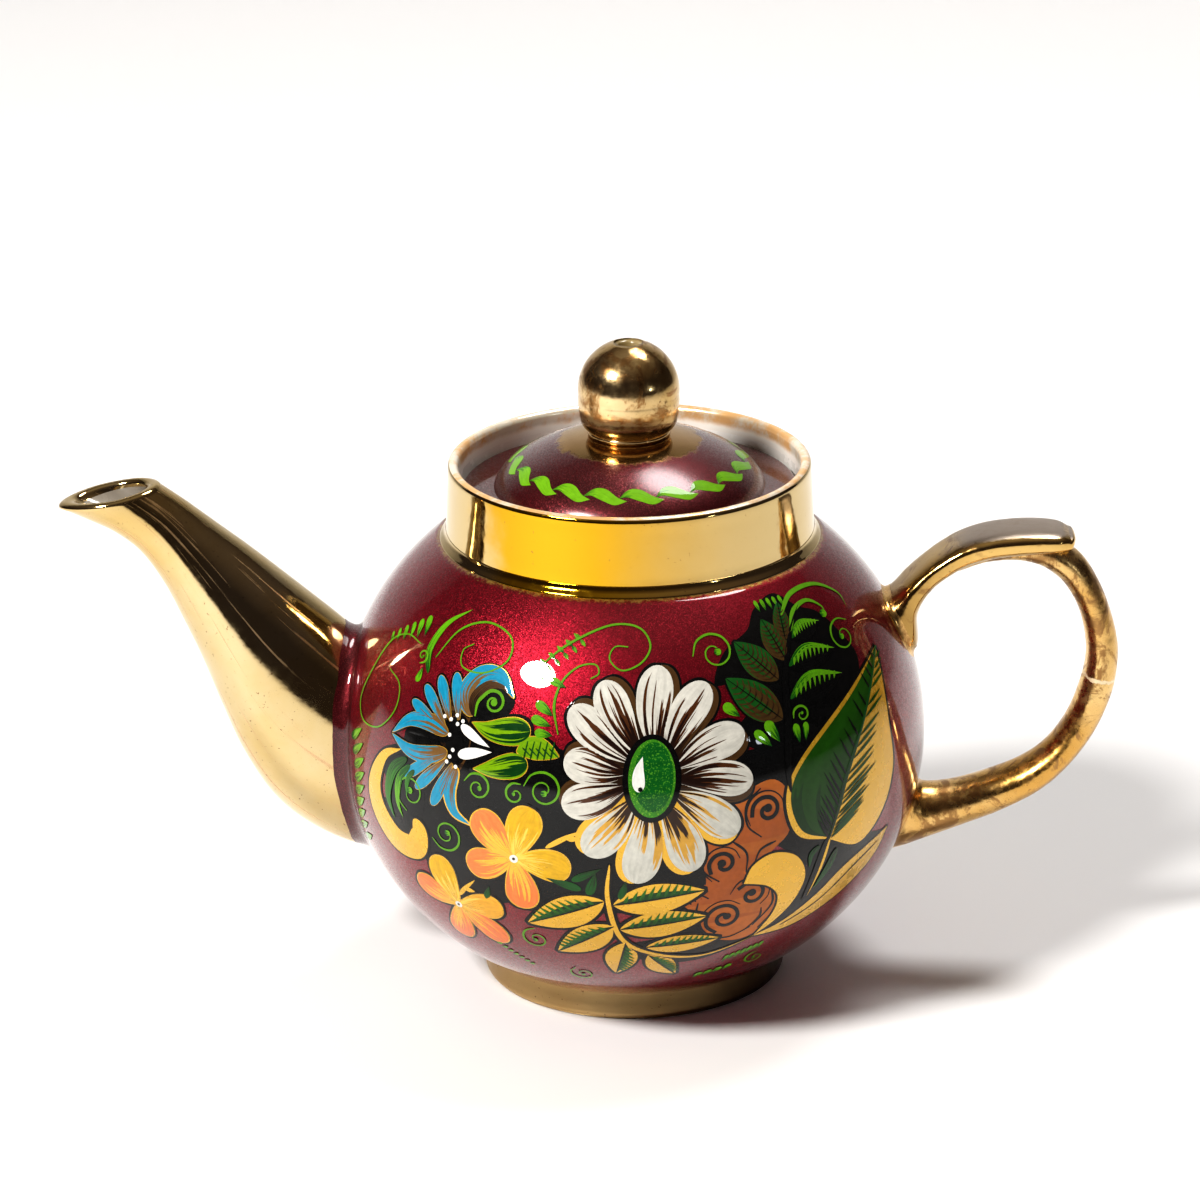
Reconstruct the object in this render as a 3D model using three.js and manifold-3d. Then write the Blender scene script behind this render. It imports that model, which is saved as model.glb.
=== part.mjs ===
// A porcelain teapot with a lift-off lid, in millimetres, +Z up.
// The spout points along -X and the handle along +X. The origin is under the middle of the whole
// object, on the surface that it stands on. The round parts share one vertical axis.
import * as THREE from "three";
import { mergeVertices } from "three/addons/utils/BufferGeometryUtils.js";
import Module from "manifold-3d";

const wasm = await Module();
wasm.setup();

// Driving dimensions. Radii are from the pot's axis, heights from the table.
const BOWL = { radius: 65, halfHeight: 59.3, middle: 57, wall: 3.2 };
const FOOT = { height: 6, outside: 33.7, top: 32.2, inside: 29.2 };
const NECK = { bottom: 102, rim: 119.4, outside: 39.8, base: 42, inside: 37.4 };
const LEDGE = { top: 110.6, inside: 33, outside: 37.1 };
const FLANGE = { outside: 36.7, inside: 26.6, thick: 2.9 };
const SKIRT = { outside: 32.4, inside: 29.8, bottom: 102.6 };
const DOME = { base: 29.7, rise: 11.6, thick: 2.8, seat: 9.6 };
const BEAD = { radius: 9.1, height: 1.4 };
const KNOB = { radius: 11.1, foot: 8.8, height: 20.6 };
const VENT_R = 2;
const SPOUT_WALL = 2.4;
const STRAINER = { hole: 2, pitch: 8.5, height: 56 };
const GAP = 0.3; // between solids that meet on a curved face
const ROLL = { reach: 2.6, thick: 1.2 }; // the rolls of slip round the spout's and the handle's roots

// Stations of the spout, from inside the bowl to past its mouth. Each is an oval across the spout:
// its upper and its lower edge, as distance from the axis and height, and half its width.
const SPOUT = [
  { top: [48, 69.5], bottom: [48, 28.5], half: 17 },
  { top: [60, 79.2], bottom: [61, 29.8], half: 17 },
  { top: [66, 84.6], bottom: [71.5, 34.6], half: 16.6 },
  { top: [72.7, 90.4], bottom: [80, 42], half: 15.8 },
  { top: [79, 95.8], bottom: [86.5, 52.8], half: 14.6 },
  { top: [84.5, 100.4], bottom: [91, 64], half: 13 },
  { top: [89.3, 104.2], bottom: [95, 75], half: 11.4 },
  { top: [93.8, 107.8], bottom: [99.1, 84.7], half: 9.9 },
  { top: [97.6, 110.8], bottom: [102.8, 92.6], half: 8.7 },
  { top: [101.2, 113.4], bottom: [107.5, 99.7], half: 8 },
  { top: [104.8, 116], bottom: [113, 104.3], half: 7.8 },
  { top: [108.6, 119], bottom: [118.6, 107.2], half: 8 },
  { top: [113, 123], bottom: [124.8, 109.9], half: 8 },
  { top: [117, 128], bottom: [131, 111.6], half: 8 },
];
// The mouth is cut by a plane through these two points: the tip, and the top of the bend behind it.
const MOUTH = { tip: [125.4, 111], back: [104.6, 115] };

// Stations of the handle's upper arm: a strap with a flat top that ends in a pointed thumb rest.
const STRAP = [
  { top: [50, 82.5], bottom: [50, 73], half: 8.6 },
  { top: [57.3, 88], bottom: [62.4, 74.2], half: 8.2 },
  { top: [60.5, 91.2], bottom: [63.4, 83.4], half: 7.7 },
  { top: [64, 94.4], bottom: [66.4, 88.8], half: 7.2 },
  { top: [68, 97.5], bottom: [70.8, 92.4], half: 7.2 },
  { top: [72.6, 100.2], bottom: [74.8, 94.6], half: 7.3 },
  { top: [78, 102], bottom: [79.4, 95.9], half: 7.5 },
  { top: [84, 102.8], bottom: [84.4, 96.5], half: 7.6 },
  { top: [89.6, 102.9], bottom: [89.4, 96.8], half: 7.5 },
  { top: [94.2, 102.4], bottom: [93.6, 97], half: 6.9 },
  { top: [97, 101.2], bottom: [96.6, 97.4], half: 5.2 },
];
// Stations of the handle's loop, from under the upper arm round to the lower root.
const LOOP = [
  { top: [70, 97.2], bottom: [72, 92.6], half: 4.4 },
  { top: [77.4, 100.4], bottom: [78.4, 94.8], half: 5.1 },
  { top: [85.6, 101.4], bottom: [84.8, 95.2], half: 5.4 },
  { top: [92.6, 100.2], bottom: [89.8, 94], half: 5.4 },
  { top: [97.8, 97.2], bottom: [93.2, 91.8], half: 5.4 },
  { top: [101.4, 93], bottom: [95.9, 89], half: 5.2 },
  { top: [104.8, 86], bottom: [98.8, 83.6], half: 5 },
  { top: [107.2, 78], bottom: [100.4, 77], half: 5 },
  { top: [107.8, 71.5], bottom: [100.6, 71.6], half: 5.2 },
  { top: [106.6, 63.4], bottom: [99.4, 65.7], half: 5.4 },
  { top: [103, 54.6], bottom: [96.6, 58.2], half: 5.6 },
  { top: [97.6, 46.8], bottom: [92.2, 51.8], half: 5.8 },
  { top: [91, 40.6], bottom: [86.6, 47.6], half: 6 },
  { top: [82.2, 35.8], bottom: [79.2, 44.6], half: 6.2 },
  { top: [73.4, 32.4], bottom: [71.6, 42.4], half: 6.5 },
  { top: [64.6, 29.2], bottom: [64.8, 42], half: 7.4 },
  { top: [58.6, 27.2], bottom: [60.6, 45], half: 8.8 },
  { top: [50, 25.5], bottom: [50, 46], half: 9 },
];

const ROUND = 40; // facets round the pot
const SMALL_ROUND = 24; // facets round the knob

const lacquer = new THREE.MeshStandardMaterial({ color: 0x5e0a18, roughness: 0.12, metalness: 0.35 });
const gold = new THREE.MeshStandardMaterial({ color: 0xd9a441, roughness: 0.08, metalness: 1 });
const glaze = new THREE.MeshStandardMaterial({ color: 0xece6dc, roughness: 0.15, metalness: 0 });

// A solid of revolution from [radius, height] points.
function revolve(profile, facets = ROUND) {
  const points = profile.map(([r, z]) => new THREE.Vector2(r, z));
  return new THREE.LatheGeometry(points, facets).rotateX(Math.PI / 2);
}

// Points along an ellipse in the profile plane, from one angle to another, in degrees.
function arc(r, z, a, b, from, to, steps) {
  return Array.from({ length: steps + 1 }, (_, i) => {
    const angle = THREE.MathUtils.degToRad(from + ((to - from) * i) / steps);
    return [r + a * Math.cos(angle), z + b * Math.sin(angle)];
  });
}

// The angle on the bowl's ellipse, grown by an offset, at a height.
function bowlAngle(height, offset = 0) {
  return THREE.MathUtils.radToDeg(Math.asin((height - BOWL.middle) / (BOWL.halfHeight + offset)));
}

function toManifold(geometry) {
  const plain = geometry.clone();
  plain.deleteAttribute("normal");
  plain.deleteAttribute("uv");
  const merged = mergeVertices(plain, 1e-3);
  return new wasm.Manifold(
    new wasm.Mesh({
      numProp: 3,
      vertProperties: merged.attributes.position.array,
      triVerts: new Uint32Array(merged.index.array),
    }),
  );
}

function toGeometry(solid) {
  const mesh = solid.getMesh();
  const geometry = new THREE.BufferGeometry();
  geometry.setAttribute("position", new THREE.BufferAttribute(mesh.vertProperties, 3));
  geometry.setIndex(new THREE.BufferAttribute(mesh.triVerts, 1));
  return geometry;
}

// A closed surface through rings of points, with a fan over each end.
function loft(rings) {
  const around = rings[0].length;
  const points = rings.flat();
  const index = [];
  for (let i = 0; i < rings.length - 1; i++) {
    for (let j = 0; j < around; j++) {
      const a = i * around + j;
      const b = i * around + ((j + 1) % around);
      index.push(a, b, b + around, a, b + around, a + around);
    }
  }
  for (const end of [0, rings.length - 1]) {
    const middle = new THREE.Vector3();
    rings[end].forEach((p) => middle.addScaledVector(p, 1 / around));
    const centre = points.push(middle) - 1;
    for (let j = 0; j < around; j++) {
      const a = end * around + j;
      const b = end * around + ((j + 1) % around);
      index.push(...(end === 0 ? [centre, b, a] : [centre, a, b]));
    }
  }
  const geometry = new THREE.BufferGeometry().setFromPoints(points);
  return geometry.setIndex(index);
}

// A tube whose oval section changes along its stations.
// side is -1 towards the spout and 1 towards the handle.
class Tube {
  constructor(stations, side, flatTop = false) {
    const curve = (read) => new THREE.CatmullRomCurve3(stations.map(read), false, "catmullrom", 0.5);
    this.top = curve((s) => new THREE.Vector3(side * s.top[0], 0, s.top[1]));
    this.bottom = curve((s) => new THREE.Vector3(side * s.bottom[0], 0, s.bottom[1]));
    this.half = curve((s) => new THREE.Vector3(s.half, 0, 0));
    this.side = side;
    this.flatTop = flatTop;
  }

  // The point on the surface at a share of the length and an angle from the top edge.
  at(share, angle, grow) {
    const top = this.top.getPoint(share);
    const bottom = this.bottom.getPoint(share);
    const up = top.clone().sub(bottom).multiplyScalar(0.5);
    const rise = up.length() + grow;
    const half = this.half.getPoint(share).x + grow;
    let c = Math.cos(angle);
    let s = Math.sin(angle);
    if (this.flatTop && c > 0) {
      c = Math.sqrt(c);
      s = Math.sign(s) * Math.sqrt(Math.abs(s));
    }
    const middle = top.add(bottom).multiplyScalar(0.5);
    return middle.addScaledVector(up.normalize(), rise * c).setY(-this.side * half * s);
  }

  // The tube as a solid, its section grown all round by a few millimetres.
  solid(lengthwise, around, grow = 0) {
    const rings = [];
    for (let i = 0; i <= lengthwise; i++) {
      const ring = [];
      for (let j = 0; j < around; j++) {
        ring.push(this.at(i / lengthwise, (2 * Math.PI * j) / around, grow));
      }
      rings.push(ring);
    }
    return toManifold(loft(rings));
  }

  // A roll of slip round the tube where it leaves the bowl, clear of both by the gap.
  roll(lengthwise, around) {
    const outside = this.solid(lengthwise, around, ROLL.thick);
    const inside = this.solid(lengthwise, around, GAP);
    const sleeve = outside.subtract(inside);
    return toGeometry(sleeve.intersect(bowlBlank(ROLL.reach)).subtract(bowlBlank(GAP)));
  }
}

const spoutTube = new Tube(SPOUT, -1);
const strapTube = new Tube(STRAP, 1, true);
const loopTube = new Tube(LOOP, 1);

// The bowl's outer shape with no hollow, a little bigger all round.
function bowlBlank(grow) {
  const high = BOWL.halfHeight + grow;
  return toManifold(revolve([
    [0, BOWL.middle - high],
    ...arc(0, BOWL.middle, BOWL.radius + grow, high, -84, 84, 24),
    [0, BOWL.middle + high],
  ]));
}

function bowl() {
  const floor = FOOT.height + BOWL.wall;
  const outside = arc(
    0, BOWL.middle, BOWL.radius, BOWL.halfHeight, bowlAngle(FOOT.height), bowlAngle(NECK.bottom), 18);
  const inside = arc(
    0, BOWL.middle, BOWL.radius - BOWL.wall, BOWL.halfHeight - BOWL.wall,
    bowlAngle(NECK.bottom - BOWL.wall, -BOWL.wall), bowlAngle(floor + 2, -BOWL.wall), 14);
  const shell = toManifold(revolve([
    [0, FOOT.height], ...outside,
    [LEDGE.inside, NECK.bottom], [LEDGE.inside, NECK.bottom - 1.4],
    ...inside, [26, floor], [0, floor],
  ]));
  return toGeometry(strainerHoles().reduce((left, hole) => left.subtract(hole), shell));
}

// Seven holes through the bowl's wall into the spout: one in the middle of six.
function strainerHoles() {
  const spots = [[0, 0]];
  for (let i = 0; i < 6; i++) {
    const angle = (Math.PI * i) / 3 + Math.PI / 6;
    spots.push([STRAINER.pitch * Math.cos(angle), STRAINER.pitch * Math.sin(angle)]);
  }
  return spots.map(([y, z]) => {
    const drill = new THREE.CylinderGeometry(STRAINER.hole, STRAINER.hole, 30, 12).rotateZ(Math.PI / 2);
    return toManifold(drill.translate(-BOWL.radius, y, STRAINER.height + z));
  });
}

function footRing() {
  return revolve([
    [FOOT.inside, FOOT.height], [FOOT.inside + 1.2, 0.8], [FOOT.inside + 1.9, 0],
    [FOOT.outside - 0.8, 0], [FOOT.outside, 0.8], [FOOT.top, FOOT.height], [FOOT.inside, FOOT.height],
  ]);
}

function neckCollar() {
  const lip = arc((NECK.inside + NECK.outside) / 2, NECK.rim - 1.2, 1.2, 1.2, 0, 180, 6);
  return revolve([
    [NECK.inside, NECK.bottom], [NECK.base, NECK.bottom], [NECK.base - 0.9, NECK.bottom + 1],
    [NECK.base - 1.6, NECK.bottom + 2.6], [NECK.outside + 0.1, NECK.rim - 4],
    ...lip, [NECK.inside, NECK.bottom],
  ]);
}

function seatLedge() {
  return revolve([
    [LEDGE.inside, NECK.bottom], [LEDGE.outside, NECK.bottom], [LEDGE.outside, LEDGE.top],
    [LEDGE.inside, LEDGE.top], [LEDGE.inside, NECK.bottom],
  ]);
}

function spout() {
  const outside = spoutTube.solid(26, 24);
  const bore = spoutTube.solid(20, 18, -SPOUT_WALL);
  const slope = Math.atan2(MOUTH.back[1] - MOUTH.tip[1], MOUTH.tip[0] - MOUTH.back[0]);
  const cutter = new THREE.BoxGeometry(80, 60, 40).translate(0, 0, 20).rotateY(-slope);
  cutter.translate(-MOUTH.tip[0], 0, MOUTH.tip[1]);
  return toGeometry(outside.subtract(bore).subtract(toManifold(cutter)).subtract(bowlBlank(GAP)));
}

function handleStrap() {
  return toGeometry(strapTube.solid(16, 16).subtract(bowlBlank(GAP)));
}

function handleLoop() {
  const clear = loopTube.solid(28, 14).subtract(strapTube.solid(16, 16, GAP));
  return toGeometry(clear.subtract(bowlBlank(GAP)));
}

const flangeTop = LEDGE.top + FLANGE.thick;
const domeTop = flangeTop + DOME.rise;

function lidFlange() {
  return revolve([
    [FLANGE.inside, LEDGE.top], [FLANGE.outside - 0.6, LEDGE.top], [FLANGE.outside, LEDGE.top + 0.8],
    [FLANGE.outside, flangeTop - 0.8], [FLANGE.outside - 0.8, flangeTop], [FLANGE.inside, flangeTop],
    [FLANGE.inside, LEDGE.top],
  ]);
}

function lidSkirt() {
  return revolve([
    [SKIRT.inside, SKIRT.bottom], [SKIRT.outside - 1, SKIRT.bottom], [SKIRT.outside, SKIRT.bottom + 1.5],
    [SKIRT.outside, LEDGE.top], [SKIRT.inside, LEDGE.top], [SKIRT.inside, SKIRT.bottom],
  ]);
}

// The dome: a short steep side, a round shoulder and a shallow crown, pierced by the vent.
function lidDome() {
  const outside = [
    [DOME.base, flangeTop], [DOME.base - 0.5, flangeTop + 1.4], [DOME.base - 1.8, flangeTop + 3.2],
    [DOME.base - 4.2, flangeTop + 5.2], [DOME.base - 7.6, flangeTop + 7.2],
    [DOME.base - 11.8, flangeTop + 9.2], [DOME.base - 16, flangeTop + 10.7],
    [DOME.seat, domeTop],
  ];
  const inside = [
    [VENT_R, domeTop - DOME.thick], [DOME.seat, domeTop - DOME.thick],
    [DOME.base - 16.6, flangeTop + 7.9], [DOME.base - 12.8, flangeTop + 6.4],
    [DOME.base - 9.2, flangeTop + 4.6], [DOME.base - 6.4, flangeTop + 2.8],
    [DOME.base - 4.6, flangeTop + 1.2], [DOME.base - 3.1, flangeTop],
  ];
  return revolve([...outside, [VENT_R, domeTop], ...inside, outside[0]]);
}

function knobBead() {
  const round = BEAD.height / 2;
  const edge = arc(BEAD.radius - round, domeTop + round, round, round, -90, 90, 6);
  return revolve(
    [[VENT_R, domeTop], ...edge, [VENT_R, domeTop + BEAD.height], [VENT_R, domeTop]], SMALL_ROUND);
}

// The knob: a coved foot, a nearly upright side and a round top with the vent's mouth in the middle.
function lidKnob() {
  const foot = domeTop + BEAD.height;
  const middle = foot + KNOB.height - KNOB.radius;
  return revolve([
    [VENT_R, foot], [KNOB.foot, foot], [KNOB.foot + 1, foot + 0.6], [KNOB.foot + 1.7, foot + 2],
    [KNOB.radius - 0.1, middle - 5.2], ...arc(0, middle, KNOB.radius, KNOB.radius, -8, 72, 10),
    [VENT_R, foot + KNOB.height - 1], [VENT_R, foot],
  ], SMALL_ROUND);
}

function part(name, geometry, material) {
  const mesh = new THREE.Mesh(geometry, material);
  mesh.name = name;
  return mesh;
}

const pot = new THREE.Group();
pot.add(
  part("bowl", bowl(), lacquer),
  part("foot_ring", footRing(), gold),
  part("neck_collar", neckCollar(), gold),
  part("seat_ledge", seatLedge(), glaze),
  part("spout", spout(), gold),
  part("spout_root_roll", spoutTube.roll(26, 24), lacquer),
  part("handle_strap", handleStrap(), gold),
  part("handle_loop", handleLoop(), gold),
  part("handle_upper_roll", strapTube.roll(16, 16), lacquer),
  part("handle_lower_roll", loopTube.roll(28, 14), lacquer),
);

const lid = new THREE.Group();
lid.add(
  part("lid_flange", lidFlange(), lacquer),
  part("lid_skirt", lidSkirt(), glaze),
  part("lid_dome", lidDome(), lacquer),
  part("knob_bead", knobBead(), gold),
  part("lid_knob", lidKnob(), gold),
);

// The pot's axis stands where it puts the whole object's middle over the origin.
const teapot = new THREE.Group();
teapot.add(pot, lid);
const middle = new THREE.Box3().setFromObject(teapot).getCenter(new THREE.Vector3());
pot.position.x = -middle.x;
lid.position.x = -middle.x;

export default teapot;
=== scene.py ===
"""A porcelain teapot with a lift-off lid: burgundy flake lacquer, gold lustre and a painted bouquet.

Lengths in the shape and painting sections are millimetres from the pot's own axis, +Z up, with the
spout along -X. Only put() turns them into metres in the row frame.
"""
import math
import random

import bpy
from mathutils import Matrix, Vector, noise


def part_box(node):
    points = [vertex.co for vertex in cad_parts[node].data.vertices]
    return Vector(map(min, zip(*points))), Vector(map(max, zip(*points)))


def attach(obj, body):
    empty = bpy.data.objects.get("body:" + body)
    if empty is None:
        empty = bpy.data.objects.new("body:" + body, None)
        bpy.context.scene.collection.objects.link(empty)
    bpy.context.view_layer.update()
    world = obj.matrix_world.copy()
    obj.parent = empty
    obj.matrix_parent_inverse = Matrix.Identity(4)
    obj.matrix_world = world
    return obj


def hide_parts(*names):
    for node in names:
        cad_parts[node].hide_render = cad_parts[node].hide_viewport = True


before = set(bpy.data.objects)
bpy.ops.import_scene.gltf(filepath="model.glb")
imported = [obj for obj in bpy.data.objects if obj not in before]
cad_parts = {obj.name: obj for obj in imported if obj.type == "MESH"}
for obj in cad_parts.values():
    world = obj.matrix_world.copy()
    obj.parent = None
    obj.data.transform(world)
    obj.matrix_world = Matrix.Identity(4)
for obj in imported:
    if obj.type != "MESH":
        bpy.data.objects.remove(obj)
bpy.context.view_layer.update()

MM = 0.001


def round_part(node):
    """Radius, bottom and top of a turned CAD node, in millimetres."""
    low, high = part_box(node)
    return (high.y - low.y) / 2 / MM, low.z / MM, high.z / MM


BOWL_R, _, BOWL_TOP = round_part("bowl")
FOOT_R, _, FOOT_TOP = round_part("foot_ring")
COLLAR_BASE_R, COLLAR_BOTTOM, RIM = round_part("neck_collar")
LEDGE_R, _, LEDGE_TOP = round_part("seat_ledge")
FLANGE_R, _, FLANGE_TOP = round_part("lid_flange")
SKIRT_R, SKIRT_BOTTOM, _ = round_part("lid_skirt")
DOME_R, _, DOME_TOP = round_part("lid_dome")
BEAD_R, _, BEAD_TOP = round_part("knob_bead")
KNOB_R, _, KNOB_TOP = round_part("lid_knob")
AXIS_X = (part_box("lid_knob")[0].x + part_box("lid_knob")[1].x) / 2 / MM

BOWL_FLATNESS = 0.912  # height over width of the whole ellipsoid that the bowl is cut from
HALF_HEIGHT = BOWL_FLATNESS * BOWL_R
MIDDLE = 57.0  # height of the bowl's widest place
WALL = 3.2
THROAT_R = 33.0  # the bowl's hole under the lid
STANDING_WIDTH = 4.5  # of the foot ring
COLLAR_R = 39.8
COLLAR_INSIDE = LEDGE_R + 0.3
SKIRT_WALL = 2.6
DOME_WALL = 2.8
SPOUT_WALL = 2.4
VENT_R = 2.0
VENT_LIP_R = 3.7
STRAINER_RING_R = 8.5
STRAINER_HOLE_R = 2.0
STRAINER_HEIGHT = 56.0

random.seed(7)


# ---------------------------------------------------------------- meshes

def put(point):
    """A point in millimetres from the pot's axis, as metres in the row frame."""
    return Vector((point[0] + AXIS_X, point[1], point[2])) * MM


class Shape:
    """Collects faces for one piece. Each corner can have a (u, v) place and each face a finish."""

    def __init__(self):
        self.points = []
        self.faces = []
        self.places = []
        self.finishes = []
        self.seeds = []

    def add(self, point, place=(0.0, 0.0), seed=0.0):
        self.points.append(put(point))
        self.places.append(place)
        self.seeds.append(seed)
        return len(self.points) - 1

    def grid(self, rows, closed=False, finish=None):
        """Faces between rows of point numbers. closed joins each row's end to its start."""
        for i, (a, b) in enumerate(zip(rows, rows[1:])):
            count = len(a) if closed else len(a) - 1
            for j in range(count):
                k = (j + 1) % len(a)
                corners = [a[j], a[k], b[k], b[j]]
                face = [c for n, c in enumerate(corners) if c not in corners[:n]]
                if len(face) > 2:
                    self.faces.append(face)
                    self.finishes.append(finish[i] if finish else 0)

    def build(self, name, looks, body, replaces=(), slot=None):
        mesh = bpy.data.meshes.new(name)
        mesh.from_pydata(self.points, [], self.faces)
        for look in looks:
            mesh.materials.append(look)
        mesh.polygons.foreach_set("material_index", self.finishes)
        mesh.polygons.foreach_set("use_smooth", [True] * len(self.faces))
        layer = mesh.uv_layers.new(name="UVMap")
        for loop in mesh.loops:
            layer.data[loop.index].uv = self.places[loop.vertex_index]
        seeds = mesh.attributes.new("seed", "FLOAT", "POINT")
        seeds.data.foreach_set("value", self.seeds)
        mesh.validate()
        piece = bpy.data.objects.new(name, mesh)
        bpy.context.scene.collection.objects.link(piece)
        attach(piece, body)
        if replaces:
            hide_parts(*replaces)
        return piece


def polar(u, v, angle, distance):
    """The point at an angle in degrees and a distance from (u, v)."""
    turn = math.radians(angle)
    return u + distance * math.cos(turn), v + distance * math.sin(turn)


def circle(u, v, radius, squash=1.0, lean=0.0, count=28):
    points = []
    for i in range(count):
        turn = 2 * math.pi * i / count
        x, y = radius * squash * math.cos(turn), radius * math.sin(turn)
        points.append((u + x * math.cos(lean) - y * math.sin(lean),
            v + x * math.sin(lean) + y * math.cos(lean)))
    return points


def curl(u, v, radius, turns, start, hand, inner=0.14):
    """Points of a spiral that winds in towards (u, v). start is in degrees, hand 1 or -1."""
    points = []
    count = max(6, int(turns * 9))
    for i in range(count + 1):
        t = i / count
        turn = math.radians(start) + hand * 2 * math.pi * turns * t
        r = radius * ((1 - t) + inner * t)
        points.append((u + r * math.cos(turn), v + r * math.sin(turn)))
    return points


def spline(points, steps):
    """A smooth line through points, with steps stretches between each pair."""
    points = [Vector(p) for p in points]
    ends = [2 * points[0] - points[1], *points, 2 * points[-1] - points[-2]]
    line = []
    for a, b, c, d in zip(ends, ends[1:], ends[2:], ends[3:]):
        for i in range(steps):
            t = i / steps
            line.append(
                0.5 * (2 * b + (c - a) * t + (2 * a - 5 * b + 4 * c - d) * t ** 2
                       + (3 * b - a - 3 * c + d) * t ** 3)
            )
    return line + [points[-1]]


def eased(line, count):
    """The same line with count stretches that are short at its ends and long in its middle."""
    points = []
    for i in range(count + 1):
        place = (0.5 - 0.5 * math.cos(math.pi * i / count)) * (len(line) - 1)
        k = min(int(place), len(line) - 2)
        points.append(line[k].lerp(line[k + 1], place - k))
    return points


def rounded(outline, steps=6):
    """An open outline of (radius, height, corner radius, finish) with its corners turned round."""
    line = [(outline[0][0], outline[0][1], outline[0][3])]
    for before, here, after in zip(outline, outline[1:], outline[2:]):
        corner = Vector(here[:2])
        if here[2] == 0:
            line.append((corner.x, corner.y, here[3]))
            continue
        start = corner + (Vector(before[:2]) - corner).normalized() * here[2]
        end = corner + (Vector(after[:2]) - corner).normalized() * here[2]
        for i in range(steps + 1):
            t = i / steps
            p = start * (1 - t) ** 2 + corner * 2 * t * (1 - t) + end * t ** 2
            line.append((p.x, p.y, here[3]))
    line.append((outline[-1][0], outline[-1][1], outline[-1][3]))
    return line


def arc(radius, height, reach, start, end, steps, finish=0):
    """Outline points round (radius, height), from one angle to another in degrees."""
    points = []
    for i in range(steps + 1):
        turn = math.radians(start + (end - start) * i / steps)
        points.append((radius + reach * math.cos(turn), height + reach * math.sin(turn), 0, finish))
    return points


def turned(name, outline, looks, body, replaces, slot, facets=192):
    """A piece turned round the axis from (radius, height, finish) points, bottom outside first."""
    shape = Shape()
    rows = []
    for radius, height, _ in outline:
        if radius < 1e-6:
            rows.append([shape.add((0, 0, height))] * facets)
            continue
        row = []
        for j in range(facets):
            angle = 2 * math.pi * j / facets
            row.append(shape.add((radius * math.cos(angle), radius * math.sin(angle), height)))
        rows.append(row)
    shape.grid(rows, closed=True, finish=[point[2] for point in outline])
    return shape.build(name, looks, body, replaces, slot)


def bowl_arc(start, end, grow, finish, steps):
    """Outline points along the bowl's ellipse between two heights."""
    high = HALF_HEIGHT + grow
    first, last = (math.asin((h - MIDDLE) / high) for h in (start, end))
    points = []
    for i in range(steps + 1):
        angle = first + (last - first) * i / steps
        points.append(((BOWL_R + grow) * math.cos(angle), MIDDLE + high * math.sin(angle), 0, finish))
    return points


def bowl_level(p, grow=0.0):
    """Above 1 outside the bowl, below 1 inside it."""
    flat = math.hypot(p.x, p.y) / (BOWL_R + grow)
    return math.hypot(flat, (p.z - MIDDLE) / (HALF_HEIGHT + grow))


def bowl_normal(p):
    return Vector((p.x / BOWL_R ** 2, p.y / BOWL_R ** 2, (p.z - MIDDLE) / HALF_HEIGHT ** 2)).normalized()


def onto_bowl(p, lift=0.0):
    """The point of the bowl's surface that lies on the line from its middle through p."""
    middle = Vector((0, 0, MIDDLE))
    return middle + (p - middle) / bowl_level(p) + bowl_normal(p) * lift


# ---------------------------------------------------------------- materials

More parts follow.
